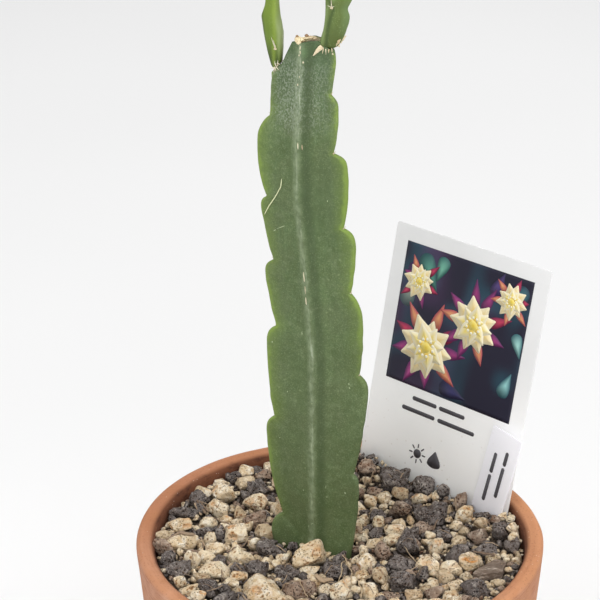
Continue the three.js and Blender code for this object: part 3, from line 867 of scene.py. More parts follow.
# %% Shapes of the shoots
# Outline from the foot up: height, left edge, right edge, on the stem's axes.
SHOOTS = {
    "left_shoot": {
        "outline": [
            (163.2, -14.6, -13.3), (164.4, -15.0, -12.1), (165.4, -15.3, -11.4),
            (167, -15.7, -11.1), (170, -16.4, -10.95), (175, -17.4, -10.8), (180, -18, -11.8),
            (183, -16.9, -12.1), (185.5, -16.6, -12.3), (189, -18.2, -10.6), (196, -18.6, -10.2),
            (205, -16.5, -11.2), (210, -17, -10.6), (216, -16, -11), (221, -13.9, -12.5),
        ],
        "ridges": (187, 308, 62),
        "valley": 0.74,
        "flatness": 0.85,
        "dark_line": [(163, -15.6), (170, -16.6), (180, -17.6), (196, -18.2)],
        "highlight_line": [(166, -13.6), (175, -12.9), (186, -13.2), (196, -13)],
    },
    "right_shoot": {
        "outline": [
            (171.3, 2.6, 6.4), (172.7, 1.6, 7.8), (175, 1.9, 9.1), (177.2, 2.6, 10.1),
            (179.7, 3.1, 10.9), (182, 3.4, 11.3), (184.4, 3.5, 10.5), (187.3, 3.4, 12.1),
            (192, 3.7, 13.4), (200, 4.7, 13.8), (207, 6, 12.9), (212, 5.9, 14.4), (220, 7.2, 14),
            (226, 8.6, 13.3), (231, 10.4, 11.8),
        ],
        "ridges": (2, 232, 140),
        "valley": 0.6,
        "flatness": 0.8,
        "dark_line": [(172, 4.0), (174.8, 4.6), (177.8, 4.9), (180.7, 5.6), (184, 6.6), (188, 5.2)],
        "highlight_line": [(173, 2.9), (178, 3.7), (184, 4.4), (190, 8.6), (196, 9.4)],
    },
}
print("tips above the rim, mm:", [shoot["outline"][-1][0] for shoot in SHOOTS.values()])

# %% Grow the shoots
SHOOT_SIDES = 96
SHOOT_RINGS = 160


def soft_line(line, at, blur=1.0):
    """A line of points with its corners eased."""
    steps = np.linspace(-1, 1, 7)
    weights = np.exp(-2 * steps**2)
    total = sum(w * on_line(line, at + s * blur) for s, w in zip(steps, weights))
    return total / weights.sum()


def shoot_section(turn, ridges, valley):
    """Radius of the ridged section in each direction, and how near a ridge is."""
    nearest = np.full(len(turn), math.pi)
    for bearing in ridges:
        away = np.abs((turn - math.radians(bearing) + math.pi) % (2 * math.pi) - math.pi)
        nearest = np.minimum(nearest, away)
    crest = np.exp(-((nearest / math.radians(33)) ** 1.5))
    return valley + (1 - valley) * crest, crest


def grow_shoot(name, outline, ridges, valley, flatness, dark_line, highlight_line):
    shoot = ball(name + "_skin", SHOOT_SIDES, SHOOT_RINGS)
    ring_number, turn = ring_shares(get_points(shoot), SHOOT_RINGS)
    foot, tip = outline[0][0], outline[-1][0]
    height = tip + (foot - tip) * ring_number / SHOOT_RINGS
    section, crest = shoot_section(turn, ridges, valley)
    every = np.linspace(0, 2 * math.pi, 361)
    wide = shoot_section(every, ridges, valley)[0] * np.cos(every)
    across = section * np.cos(turn)
    across = np.where(across > 0, across / wide.max(), across / -wide.min())
    left = soft_line([(h, a) for h, a, _ in outline], height)
    right = soft_line([(h, b) for h, _, b in outline], height)
    from_tip = np.clip(ring_number / 10, 0, 1)
    from_end = np.clip((SHOOT_RINGS - ring_number) / 3, 0, 1)
    spread = rounded(np.minimum(from_tip, from_end))
    middle, half = (left + right) / 2, (right - left) / 2
    x = middle + half * across * spread
    y = flatness * half * section * np.sin(turn) * spread
    base = np.stack([x, y, height], axis=1)
    base[:, 1] += 0.1 * lumps(base, 3, 31) * np.sign(np.sin(turn))
    base[:, 0] += 0.08 * lumps(base, 2, 32) * np.sign(across)
    set_points(shoot, from_stem(base))
    paint(shoot, "crest", crest)
    paint(shoot, "from_foot", height - foot)
    front = smooth(-np.sin(turn), -0.2, 0.3)
    # the light line is a painted highlight along the lit side of a ridge
    for label, line, width in (("dark_line", dark_line, 0.6), ("highlight_line", highlight_line, 0.7)):
        away = (x - on_line(line, height)) / width
        paint(shoot, label, front * np.exp(-(away**2)))
    paint(shoot, "right_side", smooth(across, 0.25, 0.95))
    print(name, "faces:", len(shoot.data.polygons))
    return shoot


shoot_pieces = {name: grow_shoot(name, **made) for name, made in SHOOTS.items()}

# %% Shoot material
SHOOT_COLOURS = {
    # face, deep green near the foot, ridge, dark line, painted highlight line, right-hand side, tip
    "left_shoot": (
        (105, 129, 40), (46, 66, 12), (122, 145, 60), (78, 98, 32), (138, 160, 58),
        (152, 166, 116), (118, 140, 50),
    ),
    "right_shoot": (
        (94, 112, 52), (84, 100, 44), (114, 136, 82), (62, 82, 38), (132, 152, 96), (104, 126, 76),
        (108, 130, 52),
    ),
}
for name, shoot_colours in SHOOT_COLOURS.items():
    face_colour, foot, ridge_colour, dark, light, right_colour, tip_colour = shoot_colours
    material, tree, shader, place = new_material(name + "_skin")
    cloud = patches(tree, place, 160, 0.4, 0.3)
    dot = pores(tree, place, 1600, 0.3, 0.4)
    shoot_grain = grain(tree, place, 1800, 0.6)
    streak = patches(tree, drawn_out(tree, place, 1, 1, 0.15), 1100, 0.45, 0.2)
    from_foot = stored(tree, "from_foot")
    above_foot = ramp(tree, from_foot, 2.0, 10.0, 0.0, 0.8)
    young = tint(
        tree,
        blend(tree, cloud, srgb(*face_colour), srgb(*(0.92 * c for c in face_colour))),
        (ridge_colour, streak, 0.25),
        (foot, ramp(tree, from_foot, 11.0, 1.5, 0.0, 0.9)),
        (ridge_colour, ramp(tree, stored(tree, "crest"), 0.8, 0.99, 0.0, 0.4)),
        (right_colour, stored(tree, "right_side"), above_foot),
        (tip_colour, ramp(tree, from_foot, 13.0, 20.0, 0.0, 0.7)),
        # painted highlight along the ridge
        (light, stored(tree, "highlight_line"), 0.6),
        (dark, stored(tree, "dark_line"), 0.8),
        ((166, 186, 122), dot, 0.2),
    )
    finish(tree, shader, young, (shoot_grain, 0.38, 0.55), (shoot_grain, 0.12, 0.0001), 0.4)
    seat(shoot_pieces[name], "young_stem", material, [name])
print("shoots:", list(shoot_pieces))

# %% [markdown]
# ## Bristles, scales and corky marks
# Each areole holds a few fine bristles. Where a shoot leaves the old stem, its first scales
# have dried to a pale papery fringe. One bristle is modelled by drawing out a small circle step
# by step, thinner each time, and one scale the same way from a flattened circle. Each is then
# copied with its own place, length and lean. Callus and cork are small lumpy cushions pressed
# from spheres.

# %% Model one bristle and one scale


def draw_out(name, sides, flatness, steps):
    """A tapering blade from 0 to 1 along Z: a circle is extruded and made smaller in turn."""
    blade = add_primitive(
        bpy.ops.mesh.primitive_circle_add, name, vertices=sides, radius=1, fill_type="NGON"
    )
    open_edit()
    bpy.ops.transform.resize(value=(1, flatness, 1))
    for rise, lean, shrink in steps:
        move = {"value": (lean, 0, rise)}
        bpy.ops.mesh.extrude_region_move(TRANSFORM_OT_translate=move)
        bpy.ops.transform.resize(value=(shrink, shrink, 1))
    close_edit()
    return blade


def pattern_of(piece):
    """Takes a finished pattern's points and faces, and puts the pattern away."""
    points = get_points(piece)
    faces = [tuple(face.vertices) for face in piece.data.polygons]
    bpy.data.objects.remove(piece, do_unlink=True)
    return points, faces


BRISTLE_STEPS = [(0.3, 0.3, 0.85), (0.3, 0.6, 0.75), (0.25, 0.9, 0.6), (0.15, 0.9, 0.2)]
SCALE_STEPS = [(0.2, 0.1, 1.1), (0.25, 0.05, 0.8), (0.25, -0.1, 0.65), (0.2, -0.1, 0.5), (0.1, 0, 0.2)]
bristle = pattern_of(draw_out("bristle", 6, 1.0, BRISTLE_STEPS))
scale_leaf = pattern_of(draw_out("scale", 8, 0.22, SCALE_STEPS))
print("points of a bristle and a scale:", len(bristle[0]), len(scale_leaf[0]))

# %% Tools for copies


def blade_between(pattern, foot, tip, width, roll=0.0):
    """Points of a pattern that runs from foot to tip, in mm, with its flat side outwards."""
    foot, tip = np.array(foot, float), np.array(tip, float)
    along = tip - foot
    length = np.linalg.norm(along)
    turn = Vector(along).to_track_quat("Z", "X").to_matrix() @ Matrix.Rotation(roll, 3, "Z")
    scaled = pattern[0] * np.array([width / 2, width / 2, length])
    return scaled @ np.array(turn).T + foot


def join_copies(name, parts, to_metres, numbers=("tone",)):
    """Joins copies, each with its own mesh points. A part is its points, its faces, and then
    for each named number one value, or one for each of its points."""
    points, faces, start = [], [], 0
    for part_points, part_faces, *_ in parts:
        points.append(part_points)
        faces.extend(tuple(i + start for i in face) for face in part_faces)
        start += len(part_points)
    piece = mesh_piece(name, to_metres(np.concatenate(points)), faces)
    for index, number in enumerate(numbers, 2):
        values = [np.broadcast_to(part[index], len(part[0])) for part in parts]
        paint(piece, number, np.concatenate(values))
    print(name, "copies:", len(parts), "faces:", len(faces))
    return piece


def to_metres(points):
    return points * MM

# %% Find the skin at a place


def surface_of(piece):
    """A piece's faces, made ready for finding where a line meets them."""
    faces = [tuple(face.vertices) for face in piece.data.polygons]
    return BVHTree.FromPolygons([tuple(p) for p in get_points(piece)], faces)


def front_of(surface, x, height):
    """How far forward a surface lies at a place on the stem's axes, in mm."""
    start, end = from_stem([(x, -30, height), (x, 30, height)])
    place, _, _, _ = surface.ray_cast(Vector(start), Vector(end - start).normalized())
    return -30 + (place - Vector(start)).length / MM if place else 0.0


SURFACES = {"stem": surface_of(stem)}
for name, piece in shoot_pieces.items():
    SURFACES[name] = surface_of(piece)
rng = np.random.default_rng(11)


def add_bristles(parts, x, height, y, tips, width, surface=None):
    """Bristles from one place, each to its own tip: across, up and forward, in mm."""
    for dx, dz, dy in tips:
        skin_y = front_of(surface, x + dx, height + dz) if surface else y
        tip = (x + dx, min(skin_y, y) - dy, height + dz)
        points = blade_between(bristle, (x, y, height), tip, width, rng.uniform(0, 6.28))
        parts.append((points, bristle[1], rng.uniform(0.4, 1)))


print("skins:", list(SURFACES))

# %% Place the bristles and scales
bristle_parts = []
AREOLES = {  # piece, place on the stem's axes, and its bristles' tips across, up and forward
    "left_shoot": (-12.8, 170.2, [(-1.3, 3.6, 0.5), (-0.3, 3.2, 0.6), (0.7, 1.3, 0.6), (0.1, 1.6, 0.7)]),
    "right_shoot": (6.1, 184.9, [(0.2, 2.9, 0.8), (-0.6, 1.0, 0.7), (0.8, 0.8, 0.6), (0.5, 2.0, 0.5)]),
}
areole_fronts = {name: front_of(SURFACES[name], x, up) for name, (x, up, _) in AREOLES.items()}
for name, (x, height, tips) in AREOLES.items():
    add_bristles(bristle_parts, x, height, areole_fronts[name] + 0.1, tips, 0.34, SURFACES[name])
FOOT_BRISTLES = [  # x and height of the foot, x and height of the tip, under the left shoot
    (-13.1, 164.0, -13.4, 162.5), (-13.0, 164.1, -12.4, 163.0), (-12.6, 164.4, -11.8, 163.2),
    (-12.9, 164.2, -14.0, 163.4), (-12.3, 164.9, -11.2, 164.7), (-12.0, 165.3, -10.8, 165.6),
    (-12.2, 165.2, -11.5, 166.3), (-12.7, 164.6, -12.9, 165.9),
]
for foot_x, foot_height, tip_x, tip_height in FOOT_BRISTLES:
    tips = [(tip_x - foot_x, tip_height - foot_height, rng.uniform(0.3, 1.0))]
    add_bristles(bristle_parts, foot_x, foot_height, -1.9, tips, 0.42)
    add_bristles(bristle_parts, foot_x, foot_height, 1.6, [(*tips[0][:2], -0.6)], 0.42)
for sign, notch_height, notch_reach in inner_notches():
    x = sign * (notch_reach - 0.25)
    y = float(wing_wave(x, notch_height))
    for _ in range(3):
        tips = [(sign * rng.uniform(0.5, 1.0), rng.uniform(0.1, 0.8), rng.uniform(-0.7, 0.7))]
        add_bristles(bristle_parts, x, notch_height + 0.2, y, tips, 0.24)
SCALES = [  # foot x and height, tip x and height, width: round the right shoot's foot
    (2.9, 172.3, 0.1, 169.2, 1.5), (3.7, 172.0, 3.6, 170.4, 1.1), (4.6, 171.9, 5.0, 170.3, 1.2),
    (5.6, 171.9, 5.8, 171.0, 0.9), (6.4, 172.1, 6.8, 171.0, 1.0), (7.5, 173.0, 8.3, 174.1, 0.9),
    (8.0, 173.8, 9.3, 175.3, 1.0),
]
scale_parts = []
for foot_x, foot_height, tip_x, tip_height, width in SCALES:
    away = -1.7 - 1.6 * smooth(2.6 - abs(foot_x - 5), 0, 2)
    for side in (1, -1):
        foot, tip = (foot_x, side * away, foot_height), (tip_x, side * (away - 0.9), tip_height)
        points = blade_between(scale_leaf, foot, tip, width, rng.uniform(-0.3, 0.3))
        scale_parts.append((points, scale_leaf[1], rng.uniform(0.0, 0.7)))
bristles = join_copies("areole_bristles", bristle_parts, from_stem)
scales = join_copies("dried_scales", scale_parts, from_stem)

# %% Callus on the cut


def round_ball(name, level):
    """A sphere of even triangles, divided a number of times."""
    return add_primitive(
        bpy.ops.mesh.primitive_ico_sphere_add, name, subdivisions=level, radius=1
    )


CUSHION_BALL = pattern_of(round_ball("lump", 3))


def cushion(centre, size, seed, roughness=0.25, turn=0.0):
    """A lumpy little cushion in mm, on the stem's axes: centre and half sizes."""
    points, faces = CUSHION_BALL
    bumps = lumps(points, 0.55, seed) + 0.4 * lumps(points, 0.25, seed + 1)
    points = points * (1 + roughness * bumps)[:, None] * np.array(size)
    points[:, 0], points[:, 2] = turned(points[:, 0], points[:, 2], turn)
    return points + np.array(centre), faces


CALLUS = [  # centre x, depth and height, half sizes, tone from pale to brown
    ((-5.7, -0.6, 173.7), (0.9, 1.6, 0.65), 0.1), ((-4.6, -0.9, 173.4), (1.0, 2.1, 0.7), 0.0),
    ((-3.6, -0.8, 173.8), (1.0, 2.2, 0.55), 0.0), ((-2.4, -0.5, 174.3), (0.9, 2.0, 0.5), 0.1),
    ((-1.3, -0.3, 174.4), (0.9, 1.8, 0.4), 0.3), ((-0.2, -0.1, 174.2), (0.7, 1.3, 0.35), 0.5),
    ((-5.4, -2.0, 173.2), (0.8, 0.9, 0.5), 0.05), ((-4.4, -2.9, 173.0), (0.8, 0.8, 0.6), 0.0),
    ((-5.8, -1.0, 174.5), (0.45, 0.5, 0.4), 0.95), ((-2.6, -1.0, 175.0), (0.6, 0.6, 0.5), 1.0),
    ((-1.7, -1.1, 174.8), (0.35, 0.4, 0.3), 0.7),
]
callus_parts = [
    (*cushion(centre, size, 40 + 3 * row), tone) for row, (centre, size, tone) in enumerate(CALLUS)
]
callus = join_copies("cut_callus", callus_parts, from_stem)

# %% Cork marks, healed scratches and bristle beds
CORK = [  # x and height on the face, half width, half length, turn, tone from pale to brown
    (-4.3, 139.9, 0.2, 1.0, 0.0, 0.0), (-3.1, 139.4, 0.18, 0.9, 0.1, 0.5),
    (-2.7, 94.7, 0.22, 1.7, 0.1, 0.0), (-2.0, 86.3, 0.24, 1.4, 0.12, 0.15),
    (-2.3, 90.4, 0.16, 1.6, 0.08, 0.35), (-3.5, 171.8, 0.24, 0.6, -0.1, 0.0),
    (-3.4, 170.3, 0.2, 0.6, 0.3, 0.0), (-4.0, 169.3, 0.2, 0.3, 0.0, 0.0),
    (-2.5, 167.3, 0.25, 0.35, 0.0, 0.0), (-3.8, 162.4, 0.14, 0.3, 0.1, 0.0),
    (-4.6, 159.7, 0.2, 0.35, 0.0, 0.0), (6.0, 169.9, 0.3, 0.3, 0.0, 0.0),
]
SCRATCHES = [  # x and height on the face, half width, half length, turn
    (-11.0, 110.7, 0.1, 1.9, -1.1), (-13.6, 109.1, 0.1, 0.7, -1.0), (4.6, 121.4, 0.1, 0.35, 0.1),
    (-4.2, 74.2, 0.08, 1.1, -0.25), (-3.8, 73.6, 0.07, 0.8, 0.3), (12.0, 57.3, 0.2, 0.3, 0.4),
    (12.3, 56.0, 0.2, 0.25, 0.0), (0.3, 49.6, 0.35, 0.1, 0.2), (-15.0, 69.0, 0.2, 0.25, 0.0),
    (-9.6, 51.5, 0.12, 0.3, -0.4), (-12.8, 33.2, 0.15, 0.2, 0.0), (11.2, 16.5, 0.25, 0.25, 0.3),
    (4.7, 18.3, 0.08, 0.6, 0.0), (4.9, 14.4, 0.6, 0.08, 0.3), (-3.5, 15.4, 0.35, 0.12, 0.2),
    (0.5, 4.1, 0.07, 1.0, -0.9), (-1.4, 1.9, 0.1, 0.5, 0.1),
]


def marks(rows, thick, sunk, first_seed):
    """Flat cushions on the front of the stem, one for each row."""
    parts = []
    for row, (x, height, wide, long, lean, tone) in enumerate(rows):
        centre = (x, front_of(SURFACES["stem"], x, height) + sunk, height)
        seed = first_seed + 3 * row
        parts.append((*cushion(centre, (wide, thick, long), seed, 0.3, lean), tone))
    return parts


scratch_rows = [(*row, 0.3) for row in SCRATCHES]
scratches = join_copies("healed_scratches", marks(scratch_rows, 0.08, 0.03, 90), from_stem)
cork_parts = marks(CORK, 0.14, 0, 70)
for name, (x, height, _) in AREOLES.items():
    centre = (x, areole_fronts[name], height - 0.1)
    cork_parts.append((*cushion(centre, (0.5, 0.3, 0.35), 130, 0.3), 0.2))
for sign, notch_height, notch_reach in inner_notches():
    x = sign * (notch_reach - 0.35)
    y = float(wing_wave(x, notch_height))
    bed = cushion((x, y, notch_height + 0.15), (0.5, 0.6, 0.4), 150 + notch_height, 0.3)
    cork_parts.append((*bed, 0.45))
cork = join_copies("cork_marks", cork_parts, from_stem)

# %% Dry plant materials


def dry_material(name, pale, brown):
    """Papery or corky matter between two colours, by each copy's tone."""
    material, tree, shader, place = new_material(name)
    mottle = patches(tree, place, 900, 0.4, 0.25)
    fibre = grain(tree, place, 2600, 0.9)
    toned = times(tree, stored(tree, "tone"), 0.8)
    share = sums(tree, "MULTIPLY_ADD", mottle, 0.25, toned)
    colour = blend(tree, share, srgb(*pale), srgb(*brown))
    finish(tree, shader, colour, (fibre, 0.65, 0.85), (fibre, 0.35, 0.00012))
    return material


seat(bristles, "young_stem", dry_material("bristle_white", (236, 232, 214), (214, 204, 176)))
seat(scales, "young_stem", dry_material("papery_scale", (240, 226, 196), (212, 184, 140)))
seat(callus, "old_stem", dry_material("callus", (238, 222, 184), (132, 92, 62)))
seat(scratches, "old_stem", dry_material("healed_skin", (190, 202, 166), (146, 164, 112)))
seat(cork, "old_stem", dry_material("cork", (236, 228, 196), (140, 98, 54)))
print("dry pieces:", [p.name for p in (bristles, scales, callus, scratches, cork)])

# %% [markdown]
# ## The gravel's body
# Coarse grit fills the pot, and between the stones on top one sees only dark, damp fines. So the
# bed is one closed body up to just below the stones: a cylinder whose top is inset in rings,
# which are then moved to the bed's mounds. Its sides are cut in rings too and follow the pot's
# inside.

# %% The bed
BED_HEIGHT = -8
BED_SINK = 3.0  # the fines lie this much below the stones' level
BED_MOUNDS = [  # x, y, change of height, spread
    (14, 55, 6, 12), (36, 36, 4.5, 12), (54, 17, 3, 11), (-26, 46, 0.8, 12), (-44, -24, 1.5, 22),
]
BANK = (3.2, 42, 60)  # the gravel rises this much towards the wall, from one radius to another
INNER_WALL = [(8, 47), (11, 51), (36, 55.1), (62.5, 58.6), (90, 61.5), (RIM - 1, 63.8)]
WALL_GAP = 0.35


def bed_level(x, y):
    """Level of the stones, in mm above the rim."""
    level = np.full(np.shape(x), float(BED_HEIGHT))
    for mound_x, mound_y, rise, spread in BED_MOUNDS:
        level = level + rise * np.exp(-((x - mound_x) ** 2 + (y - mound_y) ** 2) / (2 * spread**2))
    return level + BANK[0] * smooth(np.hypot(x, y), BANK[1], BANK[2])


bed = add_primitive(
    bpy.ops.mesh.primitive_cylinder_add,
    "dark_fines",
    vertices=96,
    radius=0.0615,
    depth=(RIM + BED_HEIGHT - FLOOR_WIDTH - 0.5) * MM,
    location=(0, 0, (RIM + BED_HEIGHT + FLOOR_WIDTH + 0.5) / 2 * MM),
)
bpy.ops.object.transform_apply(location=True, rotation=True, scale=True)
places = get_points(bed)
pick(bed, "EDGE", lambda line: np.ptp(places[list(line.vertices), 2]) > 0.01)
bpy.ops.mesh.subdivide(number_cuts=7)
pick(bed, "FACE", lambda face: face.normal.z > 0.9)
for _ in range(23):
    bpy.ops.mesh.inset(thickness=0.0026)
bpy.ops.object.mode_set(mode="OBJECT")
points = get_points(bed) / MM
radius = np.hypot(points[:, 0], points[:, 1])
wall = on_line(INNER_WALL, points[:, 2]) - WALL_GAP
on_side = radius > 61
points[on_side, :2] *= (wall / np.maximum(radius, 1))[on_side, None]
on_top = points[:, 2] > RIM + BED_HEIGHT - 0.6
level = bed_level(points[:, 0], points[:, 1]) - BED_SINK
level += 0.5 * lumps(points, 4, 51) + 0.25 * lumps(points, 1.7, 52)
points[on_top, 2] = (RIM + level)[on_top]
set_points(bed, points * MM)
print("bed faces:", len(bed.data.polygons))

# %% [markdown]
# ## Stones
# Grit is crushed rock, so a stone is a lump broken along random flats and then worn. Taking a
# sphere's points and holding each back to the nearest of some random flats gives such a shape,
# with edges as sharp as wanted. Pumice and lava froze as foam: their bubbles are pressed in as
# pits, many and deep in lava, few and in clusters in pumice. Cutting each bubble with a boolean
# would take minutes and gain nothing at this size. The 48 large stones each have a shape of
# their own. For the filling between them a few shapes of each kind are made and copied, turned
# every way.

# %% Kinds of stone
STONE_KINDS = {
    # flats, softness of edges, lump in mm, pit spacing in mm, pit depth in mm, clustering and
    # how many hollows the stone has at most
    "pumice": (14, 11, 0.26, 1.5, 0.26, 0.3, 3),
    "tan_pumice": (13, 12, 0.26, 1.2, 0.28, 0.1, 2),
    "lava": (12, 18, 0.42, 1.1, 0.5, -0.5, 2),
    "scoria": (12, 20, 0.34, 1.0, 0.34, -0.2, 1),
}
HOLLOWS = {  # hollows that are given one by one: direction from the stone's middle, and size
    "pumice_01": [((0.5, -0.35, 0.75), 0.5)],
    "pumice_17": [((0.1, -0.1, 1), 0.6)],
    "pumice_18": [((0.3, -0.2, 1), 0.5), ((-0.6, -0.4, 0.7), 0.35)],
    "pumice_19": [((0, -0.4, 1), 0.55)],
    "pumice_20": [((0, -0.3, 1), 0.75)],
    "pumice_22": [((0.1, -0.1, 1), 0.6)],
    "pumice_14": [((-0.4, -0.5, 0.7), 0.4)],
    "tan_pumice_01": [((0.2, -0.4, 1), 0.5)],
}
print("stones with hollows placed by hand:", len(HOLLOWS))

# %% Break and pit a stone


def broken_lump(directions, rng, flats, softness):
    """Distance from the middle to the nearest of some random flats, in each direction."""
    normals = rng.normal(size=(flats, 3))
    normals /= np.linalg.norm(normals, axis=1)[:, None]
    depth = rng.uniform(0.55, 0.95, flats)
    normals = np.concatenate([normals, np.eye(3), -np.eye(3)])
    depth = np.concatenate([depth, rng.uniform(0.85, 1.2, 6)])
    facing = np.clip(directions @ normals.T, 0, None) / depth
    return (facing**softness).sum(axis=1) ** (-1 / softness)


def stone_points(directions, kind, half_size, seed, hollows=()):
    """A stone's points in mm round its middle, how pitted it is at each, and how stained."""
    flats, softness, lump, spacing, depth, cluster, most_hollows = STONE_KINDS[kind]
    rng = np.random.default_rng(seed)
    points = directions * broken_lump(directions, rng, flats, softness)[:, None]
    low, high = points.min(axis=0), points.max(axis=0)
    points = (2 * (points - low) / (high - low) - 1) * half_size
    size = min(1.0, np.mean(half_size) / 4)
    at = points + rng.uniform(-900, 900, 3)
    relief = lumps(at, 2.3 * size, seed) + 0.6 * lumps(at, 1.1 * size, seed + 1)
    relief += 0.35 * lumps(at, 0.6, seed + 2)
    pit = smooth(pits(at, spacing, seed), 0.5, 0.14)
    pit *= smooth(lumps(at, 3.4, seed + 5), cluster - 0.15, cluster + 0.15)
    pit = np.maximum(pit, 0.35 * smooth(pits(at, spacing * 0.52, seed + 9), 0.46, 0.2))
    stain = 0.35 * smooth(lumps(at, 2.6, seed + 7), 0.1, 0.8)
    made = list(hollows) or [
        (rng.normal(size=3) + (0, 0, 0.8), rng.uniform(0.35, 0.6))
        for _ in range(rng.integers(0, most_hollows + 1))
    ]
    for middle, reach in made:
        away = np.linalg.norm(directions - middle / np.linalg.norm(middle), axis=1)
        away += 0.16 * lumps(at, 1.3, seed + 12) * reach / 0.5
        hollow = smooth(away, reach, 0.2 * reach)
        ring = np.exp(-(((away - 0.68 * reach) / (0.24 * reach)) ** 2))
        stain = np.maximum(stain, ring)
        pit = np.maximum(pit * (1 - hollow), 0.25 * hollow)
        points = points - directions * (0.2 * np.mean(half_size) * hollow)[:, None]
    points = points + directions * (size * (lump * relief - depth * pit))[:, None]
    return points, pit - 0.3 * relief, stain


sample = stone_points(CUSHION_BALL[0], "pumice", np.array([5.0, 4.0, 3.0]), 1)[0]
print("a sample stone, mm:", np.ptp(sample, axis=0).round(1))

# %% The large stones
SPHERES = {level: pattern_of(round_ball("pattern", level)) for level in (1, 2, 4)}
FINE_FROM = 7.5  # mm: stones at least this wide get the finer sphere


def shaded_dirty_underside(heights, half_height):
    """1 on a stone's lower part, painted darker as dirt from the fines and as painted shade, 0 on its
    upper part.
    """
    return smooth(-heights / half_height, -0.25, 0.7)


def large_stone(node, kind, seed):
    low, high = box_in_mm(node)
    stone = round_ball(node + "_stone", 5 if (high - low).max() >= FINE_FROM else 4)
    hollows = HOLLOWS.get(node, ())
    points, pit, stain = stone_points(get_points(stone), kind, (high - low) / 2, seed, hollows)
    set_points(stone, (points + (low + high) / 2) * MM)
    rng = np.random.default_rng(seed + 500)
    paint(stone, "under", shaded_dirty_underside(points[:, 2], (high - low)[2] / 2))
    paint(stone, "pit", pit)
    paint(stone, "tone", np.full(len(points), rng.uniform(0, 1)))
    paint(stone, "stain", stain * (1.0 if hollows else rng.uniform(0.1, 0.9)))
    return stone


large_stones = {}
for seed, node in enumerate(sorted(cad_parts)):
    kind = node.rsplit("_", 1)[0]
    if kind in STONE_KINDS:
        large_stones[node] = large_stone(node, kind, 1000 + seed)
print("large stones:", len(large_stones))

# %% [markdown]
# ## The filling
# Between the large stones the gravel is packed close, so places for the filling are found as if
# by hand: the next smaller size is tried again and again where there is still room, clear of the
# stem, the card and the tag. Three sizes go in, one after the other, and then fine crumbs. All
# the stones of one kind and size are one piece, because thousands of separate objects would be
# slow, but each stone has its own points, tone and turn.

# %% Stones placed one by one and sizes of the filling
POT_INSIDE = 63.6
PLACED = {  # smaller stones placed one by one: x, y, width and height in mm
    "tan_pumice": [(-33.5, 43, 8, 4), (24, -30.5, 6.5, 3.5), (42, 4, 5.5, 3)],
    "pumice": [
        (-40, 20.5, 5.5, 3), (-39.5, 15, 5, 3), (-32.5, -7.5, 6.5, 4), (-37, -25.5, 6.5, 3.5),
        (-25, -9.5, 4, 3), (-21.5, -11, 4, 3), (-10.5, -15, 7, 3.5), (-42.5, 43.5, 5, 2.5),
        (-47, -37, 5.5, 3.5), (60.5, 6, 5, 3.5), (60.5, 1, 4.5, 3.5), (60, -13, 4, 3),
        (57.5, 12.5, 3.5, 3), (60.5, 11.5, 3.5, 3), (12, 31.5, 5, 3.5), (16.5, 28, 3.5, 2.5),
        (30, 30, 6.5, 3.5), (35.5, 29.5, 3, 2.5), (39.5, 17, 3, 2.5), (41.5, 13, 4.5, 3),
        (32.5, 8.5, 4.5, 3), (31, -23, 4.5, 2.5), (35, -24.5, 3.5, 2), (8, 8.5, 5.5, 3.5),
        (56.5, -9.5, 2.5, 2),
    ],
    "scoria": [(-14, -28, 12, 6.5), (48.5, 4, 7.5, 5.5), (13.5, 37.5, 6, 3.5), (30, 14.5, 8, 3)],
    "lava": [
        (-37.5, 48, 4.5, 3), (38.5, 32, 6.5, 4), (45, -32, 11.5, 7), (9.5, 54, 2.5, 2),
        (24.5, 45, 5, 3), (33, 37.5, 5, 2.5), (56.5, 7, 4.5, 3.5), (59.5, -5, 5.5, 4.5),
        (14, 22, 6, 4), (9.5, 25, 3.5, 3), (36.5, 7.5, 7, 3), (13.5, 11, 6, 3),
        (45.5, 1.5, 3.5, 2), (10, 15, 3, 2),
    ],
}
CARD_LINE = ((9.1, 59.8), (0.743, -0.669), 67.9)  # foot, direction, width
TAG_LINE = ((48.3, 23.6), (0.661, -0.736), 13.7)
FILLING = [  # smallest and largest half width in mm, tries, how close they may stand
    ("coarse", 3.4, 5.0, 1500, 1.0),
    ("middle", 2.2, 3.3, 6000, 0.96),
    ("small", 1.3, 2.1, 12000, 0.92),
    ("crumb", 0.6, 1.2, 24000, 0.8),
]
BARK_HALF = 5.5  # mm kept clear round the middle of the bark flake
SHARES = {"pumice": 0.42, "tan_pumice": 0.12, "lava": 0.32, "scoria": 0.14}
print("placed by hand:", {kind: len(rows) for kind, rows in PLACED.items()})

# %% Distances on the ground


def from_plate(x, y, foot, way, width):
    """Distance on the ground from a standing card."""
    along = np.clip((x - foot[0]) * way[0] + (y - foot[1]) * way[1], 0, width)
    return math.hypot(x - foot[0] - along * way[0], y - foot[1] - along * way[1])


def from_blade(x, y):
    """Distance on the ground from the stem's foot."""
    along, off = turned(x - STEM_FOOT[0], y - STEM_FOOT[1], -STEM_TURN)
    return math.hypot(max(0, abs(along) - 14.5), max(0, abs(off) - 2.2))


def random_spot(rng, radius):
    """A place in a circle, as likely as any other, and its distance from the middle."""
    bearing, out = rng.uniform(0, 2 * math.pi), radius * math.sqrt(rng.uniform(0, 1))
    return out * math.cos(bearing), out * math.sin(bearing), out


print("from the stem to the card, mm:", round(from_plate(*STEM_FOOT, *CARD_LINE), 1))

